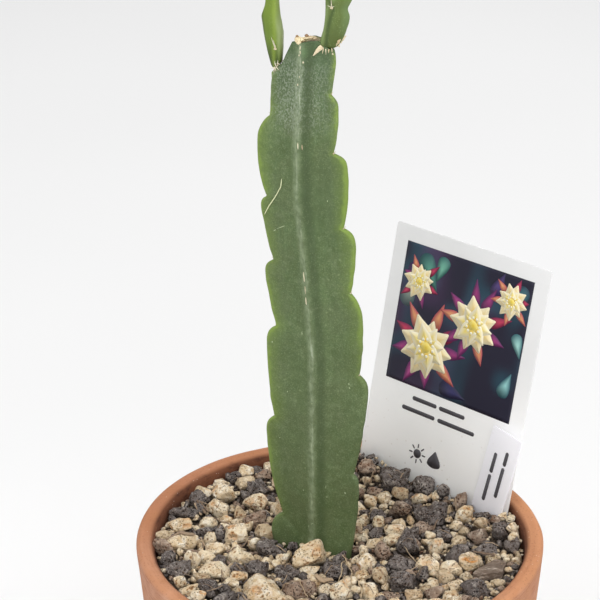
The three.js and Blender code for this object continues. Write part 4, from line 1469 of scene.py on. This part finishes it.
# %% Find room for the filling
rng = np.random.default_rng(23)
taken = [(x, y, 0.42 * width) for rows in PLACED.values() for x, y, width, _ in rows]
for node in [*large_stones, "bark_flake"]:
    low, high = box_in_mm(node)
    half = BARK_HALF if node == "bark_flake" else (high - low)[:2].mean() / 2
    taken.append((*(low + high)[:2] / 2, half))
fill_places = {size: [] for size, *_ in FILLING}
for size, small, big, tries, closeness in FILLING:
    for _ in range(tries):
        half = rng.uniform(small, big)
        x, y, out = random_spot(rng, POT_INSIDE)
        if out + 0.8 * half > POT_INSIDE or from_blade(x, y) < 0.85 * half:
            continue
        plates = min(from_plate(x, y, *CARD_LINE), from_plate(x, y, *TAG_LINE))
        if plates < 1.35 * half + 0.3:
            continue
        near = np.array(taken)
        room = np.hypot(near[:, 0] - x, near[:, 1] - y) - closeness * (near[:, 2] + half)
        if room.min() < 0:
            continue
        taken.append((x, y, half))
        fill_places[size].append((x, y, half))
print("filling:", {size: len(places) for size, places in fill_places.items()})

# %% Copy the filling stones into place
SHAPES_PER_KIND = {"coarse": 7, "middle": 7, "small": 6, "crumb": 4}
SPHERE_LEVEL = {"coarse": 4, "middle": 4, "small": 2, "crumb": 1}
LIFT = {"coarse": (0.1, 0.5), "middle": (0.0, 1.3), "small": (-0.4, 1.3), "crumb": (-0.8, 0.6)}


def random_turn(rng):
    """A turn that is as likely as any other."""
    turn, _ = np.linalg.qr(rng.normal(size=(3, 3)))
    return turn if np.linalg.det(turn) > 0 else -turn


def join_stones(name, kind, parts):
    """Joins stones of one kind: parts are points, faces, tone, pits, stains and undersides."""
    piece = join_copies(name, parts, to_metres, ("tone", "pit", "stain", "under"))
    filling[piece.name] = (piece, kind)


filling = {}
seed = 2000
for kind, rows in PLACED.items():
    directions, faces = SPHERES[4]
    parts = []
    for x, y, width, tall in rows:
        seed += 1
        half_size = np.array([0.5 * width, 0.42 * width, 0.62 * tall])
        points, pit, stain = stone_points(directions, kind, half_size, seed)
        spin = np.array(Matrix.Rotation(rng.uniform(-0.5, 0.5), 3, "Z"))
        middle = np.array([x, y, RIM + bed_level(x, y) + 0.25 * tall])
        stain = stain * rng.uniform(0.2, 1)
        under = shaded_dirty_underside(points[:, 2], half_size[2])
        parts.append((points @ spin.T + middle, faces, rng.uniform(0, 1), pit, stain, under))
    join_stones("placed_" + kind, kind, parts)

for size_index, (size, places) in enumerate(fill_places.items()):
    directions, faces = SPHERES[SPHERE_LEVEL[size]]
    shapes = {}
    for kind_index, kind in enumerate(SHARES):
        for number in range(SHAPES_PER_KIND[size]):
            seed = 3000 + 100 * size_index + 20 * kind_index + number
            mean_half = np.mean([p[2] for p in places])
            proportions = np.array([1.28, 0.92, 0.72]) * mean_half
            shapes[kind, number] = (*stone_points(directions, kind, proportions, seed), mean_half)
    kinds = rng.choice(list(SHARES), len(places), p=list(SHARES.values()))
    grouped = {kind: [] for kind in SHARES}
    for (x, y, half), kind in zip(places, kinds):
        if from_plate(x, y, *CARD_LINE) < 7 and half > 1.3 and kind != "scoria":
            kind = "lava"  # the stones heaped against the card are dark
        points, pit, stain, mean_half = shapes[kind, rng.integers(SHAPES_PER_KIND[size])]
        spin = Matrix.Rotation(rng.uniform(0, 6.28), 3, "Z")
        tilt = random_turn(rng) if rng.random() < 0.5 else np.array(spin)
        lift = rng.uniform(*LIFT[size]) + 0.12 * half
        middle = np.array([x, y, RIM + bed_level(x, y) + lift])
        placed = points @ tilt.T * (half / mean_half) + middle
        stain = stain * rng.uniform(0, 0.9)
        under = shaded_dirty_underside(placed[:, 2] - middle[2], half)
        grouped[kind].append((placed, faces, rng.uniform(0, 1), pit, stain, under))
    for kind, parts in grouped.items():
        if parts:
            join_stones(f"{size}_{kind}", kind, parts)
print("filling pieces:", len(filling))

# %% [markdown]
# ## Rock finishes
# Pumice is cream to white, with warm clouds of tan, and iron has stained its pits yellow to rust.
# Lava is a dark grey foam, dusty and paler on its edges and black in its bubbles. Scoria is
# brown-grey. All of them are dull, so the roughness is high and the fine bubbles go on below the
# size of the mesh as bump and dark specks from the shared pores group.

# %% Colours of the rocks
ROCKS = {
    # two face colours, dust on the high parts, colour in the pits, stain, scale of the fine
    # pores, how strongly the pits show, and the colour and share of mineral specks
    "pumice": (
        (238, 222, 192), (208, 181, 142), (255, 251, 240), (108, 80, 54), (196, 128, 56), 1300,
        0.7, (255, 252, 240), 0.3,
    ),
    "tan_pumice": (
        (212, 192, 160), (180, 156, 124), (240, 226, 202), (92, 68, 48), (170, 110, 58), 1400,
        0.75, (240, 230, 208), 0.35,
    ),
    "lava": (
        (122, 113, 108), (84, 77, 75), (196, 186, 176), (20, 18, 19), (128, 106, 90), 1000, 1.0,
        (214, 206, 196), 0.6,
    ),
    "scoria": (
        (172, 149, 130), (132, 112, 97), (210, 194, 176), (46, 37, 33), (160, 112, 80), 1100, 0.9,
        (226, 212, 196), 0.5,
    ),
}
print("rock colours:", list(ROCKS))

# %% Rock materials


def rock_material(kind):
    face, other, dust, hollow, stain, pore_scale, pit_share, speck, speck_share = ROCKS[kind]
    material, tree, shader, place = new_material(kind + "_rock")
    tone, pit = stored(tree, "tone"), stored(tree, "pit")
    cloud = patches(tree, place, 420, 0.4, 0.22)
    rust = patches(tree, place, 200, 0.47, 0.16)
    pore = pores(tree, place, pore_scale, 0.36, 0.38)
    mineral = pores(tree, place, 1900, 0.26, 0.34)
    rock_grain = grain(tree, place, 2200, 1.0)
    share = sums(tree, "MULTIPLY_ADD", cloud, 0.6, times(tree, tone, 0.5))
    high = sums(tree, "SUBTRACT", rock_grain, pit)
    rusty = sums(tree, "MULTIPLY_ADD", rust, 0.6, 0.4)
    soil_and_shade = sums(tree, "MULTIPLY_ADD", cloud, 0.25, 0.5)
    rock = tint(
        tree,
        blend(tree, share, srgb(*face), srgb(*other)),
        (dust, ramp(tree, high, 0.85, 1.6, 0.0, 0.75)),
        (stain, rusty, stored(tree, "stain")),
        (
            (0.35 * a + 0.65 * b for a, b in zip(hollow, stain)),
            ramp(tree, pit, 0.15, 0.7, 0.0, pit_share),
        ),
        (hollow, ramp(tree, pit, 0.4, 1.1, 0.0, pit_share)),
        (hollow, pore, 0.85 * pit_share),
        (speck, mineral, speck_share),
        # the stone's lower part darker: dirt from the fines and painted shade
        ((0.45 * a for a in other), stored(tree, "under"), soil_and_shade),
    )
    depth = sums(tree, "SUBTRACT", rock_grain, times(tree, pore, 1.5))
    finish(tree, shader, rock, (rock_grain, 0.82, 0.98), (depth, 1.0, 0.0005), 0.2)
    return material


rock_materials = {kind: rock_material(kind) for kind in ROCKS}
for node, stone in large_stones.items():
    kind = node.rsplit("_", 1)[0]
    seat(stone, kind, rock_materials[kind], [node])
for piece, kind in filling.values():
    seat(piece, kind, rock_materials[kind])

material, tree, shader, place = new_material("damp_fines")
crumbs = patches(tree, place, 500, 0.45, 0.15)
fines_grain = grain(tree, place, 1200, 1.0)
fines = blend(tree, crumbs, srgb(78, 67, 58), srgb(134, 118, 102))
finish(tree, shader, fines, (fines_grain, 0.85, 1.0), (fines_grain, 0.8, 0.0006))
seat(bed, "gravel", material, ["gravel_bed"])
print("rock materials:", list(rock_materials))

# %% [markdown]
# ## The picture card and the tag
# Both labels are thin stiff plastic: a straight-sided sheet with a point that is pushed into the
# gravel. The outline is drawn from a circle's points, extruded to the sheet's thickness, and its
# edges are given a small bevel, as a stamped sheet has. Each is made lying flat, in mm, and then
# stood up on its own axes. What is printed on them is laid on as very thin sheets of colour, so
# that every mark has a clean edge from any side.

# %% Measures of the labels
CARD = {
    "foot": (9.1, 59.8, -1),
    "across": (0.743, -0.669, -0.031),
    "up": (0.148, 0.119, 0.982),
    "left": 0,
    "right": 67.9,
    "top": 91.5,
    "corner": 0.8,
    "shoulder": -8,
    "point": -30,
    "point_half": 9,
    "thick": 0.5,
}
TAG = {
    "foot": (52.8, 18.6, -1.2),
    "across": (0.661, -0.736, -0.144),
    "up": (0.213, 0, 0.977),
    "left": -6.85,
    "right": 6.85,
    "top": 30.4,
    "corner": 0.5,
    "shoulder": -5,
    "point": -16,
    "point_half": 1.5,
    "thick": 0.6,
}
print("tops of card and tag, mm:", CARD["top"], TAG["top"])

# %% Cut the labels' sheets


def stand_up(label):
    """A change from a label's own mm (across, up, out of its face) to places in metres."""
    across = np.array(label["across"]) / np.linalg.norm(label["across"])
    up = np.array(label["up"]) - across * np.dot(across, label["up"])
    up /= np.linalg.norm(up)
    axes = np.stack([across, up, np.cross(across, up)])
    foot = np.array(label["foot"]) + (0, 0, RIM)
    return lambda points: (np.asarray(points, float) @ axes + foot) * MM


def cut_sheet(name, label):
    """The plain sheet of a label, with bevelled edges."""
    left, right, top, corner = (label[key] for key in ("left", "right", "top", "corner"))
    middle = (left + right) / 2
    outline = [
        (middle - label["point_half"], label["point"]),
        (middle + label["point_half"], label["point"]),
        (right, label["shoulder"]),
        (right, top - corner),
        (right - 0.3 * corner, top - 0.3 * corner),
        (right - corner, top),
        (left + corner, top),
        (left + 0.3 * corner, top - 0.3 * corner),
        (left, top - corner),
        (left, label["shoulder"]),
    ]
    sheet = add_primitive(
        bpy.ops.mesh.primitive_circle_add, name, vertices=len(outline), fill_type="NGON"
    )
    depth = label["thick"]
    set_points(sheet, [(x, y, -depth / 2) for x, y in outline])
    open_edit()
    bpy.ops.mesh.extrude_region_move(TRANSFORM_OT_translate={"value": (0, 0, depth)})
    close_edit()
    edge = {"limit_method": "ANGLE", "angle_limit": math.radians(50)}
    modify(sheet, "stamped_edge", "BEVEL", width=0.12, segments=2, **edge)
    flat = get_points(sheet)
    set_points(sheet, stand_up(label)(flat))
    paint(sheet, "up_mm", flat[:, 1])
    print(name, "faces:", len(sheet.data.polygons))
    return sheet


card_sheet = cut_sheet("card_sheet", CARD)
tag_sheet = cut_sheet("tag_sheet", TAG)

# %% [markdown]
# ## What is printed on the labels
# The card shows a garden picture in a dark frame of blue and violet: four cream blossoms with
# yellow hearts in a slanting row, with long red and violet buds between them and blue-green
# leaves behind. It is a made-up picture. One petal is modelled from a filled circle whose points
# are drawn out to a tip, and is copied for every petal, bud and leaf with its own length, width
# and two colours, from its middle to its rim. Below it plain bars and two small care signs, a
# sun and a drop, keep the places where a label carries words.

# %% One petal, one bar and one disc


def fan(name, count):
    """A filled circle of triangles round its middle point."""
    return add_primitive(
        bpy.ops.mesh.primitive_circle_add, name, vertices=count, fill_type="TRIFAN"
    )


petal = fan("petal", 28)
points = get_points(petal)
along = (points[:, 1] + 1) / 2
points[:, 0] *= 0.5 * (1 - 0.62 * smooth(along, 0.45, 1.0)) / np.clip(0.42 + along, 0.55, 1)
points[:, 1] = along
set_points(petal, points)
petal = pattern_of(petal)
disc = pattern_of(fan("disc", 24))
bar = pattern_of(fan("bar", 20))
print("points of petal, disc and bar:", [len(p[0]) for p in (petal, disc, bar)])

# %% Tools for the print


def towards(turn):
    """The direction at a turn in degrees from upright, clockwise."""
    return np.array([math.sin(math.radians(turn)), math.cos(math.radians(turn))])


def print_shape(parts, pattern, place, size, turn, level, colours):
    """Adds a flat shape: place and size in mm, turn in degrees from upright, two colours."""
    points, faces = pattern
    x, y = turned(points[:, 0] * size[0], points[:, 1] * size[1], math.radians(-turn))
    # the fan's middle point is the one that lies inside the ring of the others
    spokes = np.bincount(np.concatenate([np.array(face) for face in faces]))
    inner = (spokes > 3)[:, None]
    colour = np.where(inner, np.array(srgb(*colours[0])), np.array(srgb(*colours[1])))
    flat = np.stack([x + place[0], y + place[1], np.full(len(x), level)], axis=1)
    parts.append((flat, faces, colour))


def print_bar(parts, start, length, height, level, colour, turn=0.0):
    """A bar with round ends from a start point, along the label's width or turned."""
    points, faces = bar
    stretched = points * (height / 2)
    stretched[:, 0] += np.where(points[:, 0] > 0, length, 0)
    print_shape(parts, (stretched, faces), start, (1, 1), turn, level, (colour, colour))


def lay_print(name, label, parts):
    """Joins the printed shapes, gives them the thickness of ink, and stands them on the label."""
    ink = join_copies(name, parts, np.asarray, ())
    layer = ink.data.attributes.new("ink_colour", "FLOAT_COLOR", "POINT")
    colours = np.concatenate([colours for _, _, colours in parts])
    rgba = np.column_stack([colours, np.ones(len(colours))]).astype(np.float32)
    layer.data.foreach_set("color", rgba.ravel())
    bpy.ops.object.select_all(action="DESELECT")
    ink.select_set(True)
    bpy.context.view_layer.objects.active = ink
    modify(ink, "ink_thickness", "SOLIDIFY", thickness=0.008, offset=-1)
    open_edit()
    close_edit()
    set_points(ink, stand_up(label)(get_points(ink)))
    print(name, "shapes:", len(parts), "faces:", len(ink.data.polygons))
    return ink

# %% The picture's ground and leaves
PICTURE = (5.96, 33.7, 61.8, 85.75)  # left, low, right and top edge on the card, in mm
INK_LEVEL = CARD["thick"] / 2 + 0.02
LAYER = 0.012  # each layer of the picture lies this much above the one before
rng = np.random.default_rng(41)
panel = add_primitive(bpy.ops.mesh.primitive_grid_add, "panel", x_subdivisions=36, y_subdivisions=34)
points, faces = pattern_of(panel)
left, low, right, top = PICTURE
points[:, 0] = left + (right - left) * (points[:, 0] + 1) / 2
points[:, 1] = low + (top - low) * (points[:, 1] + 1) / 2
points[:, 2] = INK_LEVEL
deep = np.array(srgb(30, 28, 48))
clouds = smooth(lumps(points + 7, 9, 3), -0.1, 0.9)[:, None]
violet = smooth(lumps(points - 31, 13, 4), 0.0, 0.9)[:, None]
blue, purple = np.array(srgb(36, 66, 82)), np.array(srgb(74, 48, 84))
ground = deep + clouds * (blue - deep) + 0.7 * violet * (purple - deep)
print_parts = [(points, faces, ground)]
LEAVES = [  # place of the foot, length, width, turn, two colours
    ((14, 83), 15, 5.5, 148, (96, 160, 140), (34, 74, 78)),
    ((9, 62), 13, 5.0, 12, (150, 164, 150), (60, 82, 92)),
    ((24, 84), 10, 4.2, 196, (120, 184, 160), (44, 92, 90)),
    ((59, 83), 12, 4.6, 205, (70, 128, 136), (30, 56, 72)),
    ((58, 66), 9, 3.6, 160, (164, 214, 206), (48, 96, 104)),
    ((56, 42), 10, 4.0, 18, (150, 206, 204), (40, 84, 96)),
    ((12, 46), 12, 4.4, 60, (52, 70, 110), (30, 36, 64)),
    ((30, 38), 12, 4.6, 100, (60, 58, 104), (30, 30, 58)),
    ((46, 76), 10, 4.0, 20, (90, 70, 128), (44, 36, 72)),
    ((8, 76), 9, 4.0, 90, (96, 70, 120), (50, 36, 74)),
]
for foot, length, width, turn, middle, rim in LEAVES:
    print_shape(print_parts, petal, foot, (width, length), turn, INK_LEVEL + LAYER, (middle, rim))
print("leaves:", len(LEAVES))

# %% Buds and blossoms
BLOSSOMS = [  # middle, radius, first turn: from the lower left to the upper right
    ((21.5, 49.5), 11.8, 8), ((40.0, 63.5), 10.6, 30), ((54.0, 76.5), 6.6, 15),
    ((14.0, 72.5), 6.8, 40),
]
PETAL_RINGS = [  # how many petals, their reach, their width, two colours from middle to rim
    (9, 1.0, 0.62, (238, 206, 120), (250, 240, 206)),
    (8, 0.74, 0.56, (246, 222, 110), (255, 248, 224)),
    (6, 0.48, 0.44, (240, 196, 40), (253, 238, 160)),
]
BUD_COLOURS = [
    ((196, 62, 92), (112, 30, 68)), ((178, 72, 134), (92, 34, 88)),
    ((226, 160, 110), (168, 70, 84)), ((158, 60, 120), (84, 34, 84)),
]
POLLEN = (255, 250, 225)
HEART_COLOURS = ((226, 196, 60), (250, 230, 130))
level = INK_LEVEL + 2 * LAYER
for (x, y), reach, first in BLOSSOMS:
    buds = 9 if reach > 8 else 6
    for number in range(buds):
        turn = first + 360 / buds * number + rng.uniform(-8, 8)
        way = towards(turn)
        foot = (x, y) + 0.62 * reach * way
        length = reach * rng.uniform(0.72, 1.02)
        tip = foot + length * way
        tip = np.clip(tip, (left + 0.8, low + 0.8), (right - 0.8, top - 0.8))
        length = max(np.dot(tip - foot, way), 1.0)
        colours = BUD_COLOURS[rng.integers(len(BUD_COLOURS))]
        print_shape(print_parts, petal, foot, (0.3 * reach, length), turn, level, colours)
    level += LAYER
for (x, y), reach, first in BLOSSOMS:
    for count, share, wide, middle, rim in PETAL_RINGS:
        for number in range(count):
            turn = first + 360 / count * number + rng.uniform(-6, 6)
            length = reach * share * rng.uniform(0.9, 1.06)
            warm = rng.uniform(0.9, 1.0)
            colours = (tuple(warm * c for c in middle), tuple((0.5 + 0.5 * warm) * c for c in rim))
            lift = level + 0.2 * LAYER * (number % 5)
            print_shape(print_parts, petal, (x, y), (wide * length, length), turn, lift, colours)
        level += LAYER
        first += 19
    heart = 0.17 * reach
    print_shape(print_parts, disc, (x, y), (heart, heart), 0, level, HEART_COLOURS)
    for number in range(11):
        place = (x, y) + 1.6 * heart * towards(first + 33 * number)
        dot = (0.05 * reach, 0.05 * reach)
        print_shape(print_parts, disc, place, dot, 0, level + LAYER, (POLLEN, POLLEN))
    level += 2 * LAYER
print("blossoms:", len(BLOSSOMS), "shapes so far:", len(print_parts))

# %% Bars and care signs
WORD_INK = (74, 72, 76)
WORD_BARS = [(20.2, 29.6, 9.5), (32.4, 29.6, 10.0), (16.2, 25.0, 13.5), (32.6, 25.0, 15.0)]
for x, y, length in WORD_BARS:
    print_bar(print_parts, (x, y), length, 1.6, INK_LEVEL, WORD_INK)
SUN, DROP = (25.6, 9.8), (33.4, 6.8)  # the sun's middle and the drop's foot
print_shape(print_parts, disc, SUN, (1.7, 1.7), 0, INK_LEVEL, (WORD_INK, WORD_INK))
for number in range(8):
    place = SUN + 2.4 * towards(45 * number)
    print_bar(print_parts, place, 1.1, 0.55, INK_LEVEL, WORD_INK, 45 * number - 90)
print_shape(print_parts, petal, DROP, (4.6, 6.4), 0, INK_LEVEL, (WORD_INK, WORD_INK))
card_print = lay_print("card_print", CARD, print_parts)

TAG_BARS = [(-2.4, 3.0, 9.0), (-2.4, 14.2, 6.5), (2.3, 6.5, 10.5), (2.3, 19.2, 4.0)]
tag_parts = []
for x, y, length in TAG_BARS:
    print_bar(tag_parts, (x, y), length, 1.5, TAG["thick"] / 2 + 0.02, WORD_INK, -90)
tag_print = lay_print("tag_print", TAG, tag_parts)

# %% [markdown]
# ## Plastic and ink
# The labels are matt white plastic, the tag a little bluer. Plastic that has stood in a
# greenhouse is faintly clouded, and dusty at the gravel. Towards the foot the plastic is painted
# whiter, as painted light against the shade of the stem and the stones. The ink takes its colour
# from the printed shapes and breaks it up finely, as print on plastic is a grain of dots.

# %% Plastic and ink materials


def plastic(name, white, painted_light_white, dusty):
    material, tree, shader, place = new_material(name)
    haze = patches(tree, place, 30, 0.4, 0.3)
    specks = pores(tree, place, 420, 0.2, 0.5)
    tooth = grain(tree, place, 1500, 0.7)
    up = stored(tree, "up_mm")
    colour = tint(
        tree,
        blend(tree, haze, srgb(*white), srgb(*(0.982 * c for c in white))),
        # the lower part painted whiter: painted light against the shade there
        (painted_light_white, ramp(tree, up, 60, 20)),
        (dusty, ramp(tree, up, 9, -1, 0.0, 0.5), haze),
        (dusty, specks, ramp(tree, up, 40, 4, 0.04, 0.35)),
    )
    finish(tree, shader, colour, (tooth, 0.42, 0.6), (tooth, 0.06, 0.0001), 0.35)
    shader.inputs["Subsurface Weight"].default_value = 0.5
    shader.inputs["Subsurface Radius"].default_value = (1, 1, 1)
    shader.inputs["Subsurface Scale"].default_value = 0.002
    return material


card_plastic = plastic("card_plastic", (222, 222, 222), (255, 255, 253), (190, 178, 160))
tag_plastic = plastic("tag_plastic", (236, 234, 246), (248, 246, 255), (190, 180, 170))
seat(card_sheet, "card", card_plastic, ["picture_card"])
seat(tag_sheet, "tag", tag_plastic, ["plant_tag"])

material, tree, shader, place = new_material("label_ink")
ink = new_node(tree, "Attribute", attribute_name="ink_colour").outputs["Color"]
raster = grain(tree, place, 2600, 0.5)
shift = ramp(tree, raster, 0.5, 1.1, 0.0, 0.22)
ink = blend(tree, shift, ink, srgb(200, 196, 200), "SOFT_LIGHT")
finish(tree, shader, ink, (raster, 0.4, 0.55), (raster, 0.05, 0.00006), 0.35)
seat(card_print, "card", material)
seat(tag_print, "tag", material)
print("label pieces:", [p.name for p in (card_sheet, tag_sheet, card_print, tag_print)])

# %% [markdown]
# ## Bark, splinters, dry roots and a fibre
# A flake of bark lies on the gravel at the right, and splinters of wood and dry roots lie
# between the stones. A splinter, a root and the pale fibre stuck to the stem are all threads:
# the rings of a sphere are laid along a path and thinned towards both ends, which closes them
# in one go. The bark is a cube that is divided finely: its two long edges are moved to an uneven
# outline, and its faces are pushed in and out in ridges along the grain.

# %% The bark flake
BARK_HALVES = np.array([6.3, 3.9, 1.25])  # mm
BARK_TURN = math.radians(22)
low, high = box_in_mm("bark_flake")
bark = add_primitive(bpy.ops.mesh.primitive_cube_add, "bark", size=2)
open_edit()
bpy.ops.mesh.subdivide(number_cuts=31)
bpy.ops.object.mode_set(mode="OBJECT")
points = get_points(bark)
top_edge = np.interp(points[:, 0], [-1, -0.7, -0.1, 0.55, 1], [0.1, 0.45, 0.7, 1.0, 0.6])
low_edge = np.interp(points[:, 0], [-1, -0.6, 0.0, 0.4, 0.7, 1], [-0.15, -0.5, -0.75, -1.0, -0.3, 0.2])
points[:, 1] = low_edge + (top_edge - low_edge) * (points[:, 1] + 1) / 2
shaped = points * BARK_HALVES
bark_grain = lumps(shaped * np.array([0.25, 1.6, 1]), 0.9, 61)
bark_grain += 0.5 * lumps(shaped * np.array([0.4, 2.6, 1]), 0.6, 62)
shaped[:, 2] += np.sign(points[:, 2]) * 0.28 * bark_grain * (np.abs(points[:, 2]) > 0.9)
shaped[:, 2] += 0.5 * lumps(shaped, 5, 63) + 0.06 * shaped[:, 0]
shaped[:, 0] += 0.25 * lumps(shaped, 1.1, 64) * (np.abs(points[:, 0]) > 0.9)
shaped[:, 1] += 0.2 * lumps(shaped, 0.9, 65)
shaped[:, 0], shaped[:, 1] = turned(shaped[:, 0], shaped[:, 1], BARK_TURN)
set_points(bark, (shaped + (low + high) / 2) * MM)
edge = {"limit_method": "ANGLE", "angle_limit": math.radians(60)}
modify(bark, "worn_edges", "BEVEL", width=0.0002, **edge)
print("bark faces:", len(bark.data.polygons))

# %% One thread
THREAD_RINGS = 22
thread_ball = pattern_of(ball("thread", 7, THREAD_RINGS))


def thread(path, half_width, flatness=1.0, waver=0.15, seed=0, blunt=8):
    """Points of a thin body along a path, in the path's own units."""
    ring, turn = ring_shares(thread_ball[0], THREAD_RINGS)
    path = np.array(path, float)
    steps = np.linalg.norm(np.diff(path, axis=0), axis=1)
    at = np.concatenate([[0], np.cumsum(steps)])
    share = ring / THREAD_RINGS

    def on_path(part):
        return np.stack([np.interp(part * at[-1], at, path[:, k]) for k in range(3)], axis=1)

    way = on_path(np.clip(share + 0.06, 0, 1)) - on_path(np.clip(share - 0.06, 0, 1))
    way /= np.linalg.norm(way, axis=1)[:, None]
    side = np.cross(way, (0.05, 0.02, 1))
    side /= np.linalg.norm(side, axis=1)[:, None]
    rise = np.cross(side, way)
    width = half_width * (1 - np.abs(2 * share - 1) ** blunt) ** 0.5
    out = side * np.cos(turn)[:, None] + flatness * rise * np.sin(turn)[:, None]
    points = on_path(share) + out * width[:, None]
    return points + waver * half_width * 2 * lumps(points, 3 * half_width + 0.4, seed)[:, None]


print("points of a thread:", len(thread_ball[0]))

# %% The pale fibre on the stem
FIBRE = [  # x and height on the face, and how far the fibre stands off the skin
    (-10.8, 127.6, 0.5), (-11.0, 124.8, 0.6), (-13.2, 120.8, 0.4), (-15.4, 117.5, 0.35),
    (-17.2, 114.1, 0.2),
]
fibre_path = [
    (x, front_of(SURFACES["stem"], max(x, -15.5), height) - lift, height)
    for x, height, lift in FIBRE
]
fibre_points = thread(fibre_path, 0.17, 1.0, 0.1, 3)
fibre = join_copies("pale_fibre", [(fibre_points, thread_ball[1], 0.0)], from_stem)

# %% How high the gravel stands
GROUND_CELL = 0.5  # mm
GROUND_CELLS = 270
ground = np.full((GROUND_CELLS, GROUND_CELLS), -99.0)
for piece in [*large_stones.values(), *(made for made, _ in filling.values()), bark]:
    points = get_points(piece) / MM
    cells = (points[:, :2] / GROUND_CELL + GROUND_CELLS / 2).astype(int)
    np.maximum.at(ground, tuple(np.clip(cells, 0, GROUND_CELLS - 1).T), points[:, 2] - RIM)


def ground_at(x, y, reach=1):
    """The highest stone near a place, in mm above the rim."""
    column, row = (int(v / GROUND_CELL + GROUND_CELLS / 2) for v in (x, y))
    near = ground[column - reach : column + reach + 1, row - reach : row + reach + 1]
    return max(float(near.max()), float(bed_level(x, y)) - BED_SINK)


def lie_down(path, half_width):
    """A path over the gravel that rests on the stones it crosses."""
    return [(x, y, RIM + ground_at(x, y) + 0.4 * half_width + lift) for x, y, lift in path]


print("gravel by the stem, mm above the rim:", round(ground_at(0, 0), 1))

# %% Roots and splinters over the gravel
ROOTS = [  # half width and path: x, y and how far it hangs above or below the stones
    (
        0.24,
        [(0.8, -6.5, 0), (1.8, -9.1, 0.3), (3.2, -13, 0), (4, -16.4, 0), (3.7, -21, 0.2), (3.7, -25.5, 0)],
    ),
    (0.17, [(1.8, -9.1, 0.2), (0.4, -14, 0.3), (0.5, -19.2, 0), (-1.2, -23, 0)]),
    (0.18, [(4, -16.4, 0.1), (5.4, -22, 0.3), (7, -28.5, 0), (6.4, -33, 0)]),
    (0.15, [(-16.3, -28.9, 0), (-13.7, -29.9, 0.5), (-11, -33.3, 0)]),
    (0.14, [(22, -6, 0), (26, -9.5, 0.6), (27, -14, 0), (31, -17, 0)]),
    (0.13, [(-30, 8, 0), (-33, 4, 0.5), (-31, -1, 0)]),
]
CHIPS = [  # half width and path of the larger pieces of wood and bark
    (0.9, [(-60.2, -0.1, 0), (-55, -0.3, 0.3), (-50, -0.9, 0)]),
    (0.55, [(-50.6, 26.5, 0), (-47.3, 21.9, 0.2)]),
    (0.5, [(-49.6, 25.4, 0.6), (-46.0, 22.4, 0.6)]),
    (0.45, [(-51.5, 24.6, 0.2), (-49.0, 20.8, 0.4)]),
    (1.0, [(-43.2, 53.0, 0), (-40.2, 51.4, 0.2)]),
    (1.1, [(-8.6, -22.6, 0), (-5.8, -23.6, 0.8), (-2.9, -21.3, 0)]),
    (0.8, [(5.9, 13.2, 0), (8.2, 7.6, 0.3)]), (0.6, [(45.5, -9.0, 0.3), (52.5, -14.2, 0.2)]),
    (0.8, [(40.2, -27.5, 0.2), (44.5, -30.2, 0)]),
]
CHIP_TRIES, CHIPS_INSIDE = 150, 61


def laid(path, half_width, *shape, tone):
    """A thread that lies on the gravel: half width, then its shape, and its tone."""
    return thread(path, half_width, *shape), thread_ball[1], rng.uniform(*tone)


root_parts = [
    laid(lie_down(path, half_width), half_width, 0.9, 0.7, number, tone=(0, 0.5))
    for number, (half_width, path) in enumerate(ROOTS)
]
chip_parts = [
    laid(lie_down(path, 0.5 * half_width), half_width, 0.4, 0.25, 20 + number, 20, tone=(0.1, 1))
    for number, (half_width, path) in enumerate(CHIPS)
]
for number in range(CHIP_TRIES):
    x, y, out = random_spot(rng, CHIPS_INSIDE)
    turn = rng.uniform(0, 2 * math.pi)
    half = rng.uniform(0.8, 3.2)
    if out + half > CHIPS_INSIDE or min(from_blade(x, y), from_plate(x, y, *CARD_LINE)) < half:
        continue
    dx, dy = half * math.cos(turn), half * math.sin(turn)
    path = [(x - dx, y - dy, -0.3), (x, y, 0.1), (x + dx, y + dy, -0.2)]
    width = rng.uniform(0.08, 0.3)
    chip = laid(lie_down(path, width), width, 0.5, 0.2, 60 + number, 20, tone=(0, 1))
    chip_parts.append(chip)
roots = join_copies("dry_roots", root_parts, to_metres)
chips = join_copies("wood_splinters", chip_parts, to_metres)

# %% Wood materials
material, tree, shader, place = new_material("bark")
along_grain = {"Vector": place, "Scale": (0.35, 1.6, 1.0), "Rotation": (0, 0, -0.38)}
split = new_node(tree, "Mapping", along_grain).outputs[0]
fibres = grain(tree, split, 1500, 1.0)
weather = patches(tree, place, 260, 0.42, 0.25)
wood = blend(tree, weather, srgb(162, 144, 128), srgb(198, 184, 168))
wood = tint(tree, wood, ((86, 70, 58), ramp(tree, fibres, 0.72, 1.05, 0.0, 0.85)))
finish(tree, shader, wood, (fibres, 0.75, 0.95), (fibres, 0.6, 0.0003))
seat(bark, "bark", material, ["bark_flake"])
seat(chips, "bark", dry_material("split_wood", (178, 154, 126), (96, 76, 62)))
seat(roots, "gravel", dry_material("dry_root", (196, 174, 142), (148, 122, 94)))
seat(fibre, "old_stem", dry_material("fibre", (226, 230, 186), (206, 200, 150)))
print("wood pieces:", [p.name for p in (bark, chips, roots, fibre)])
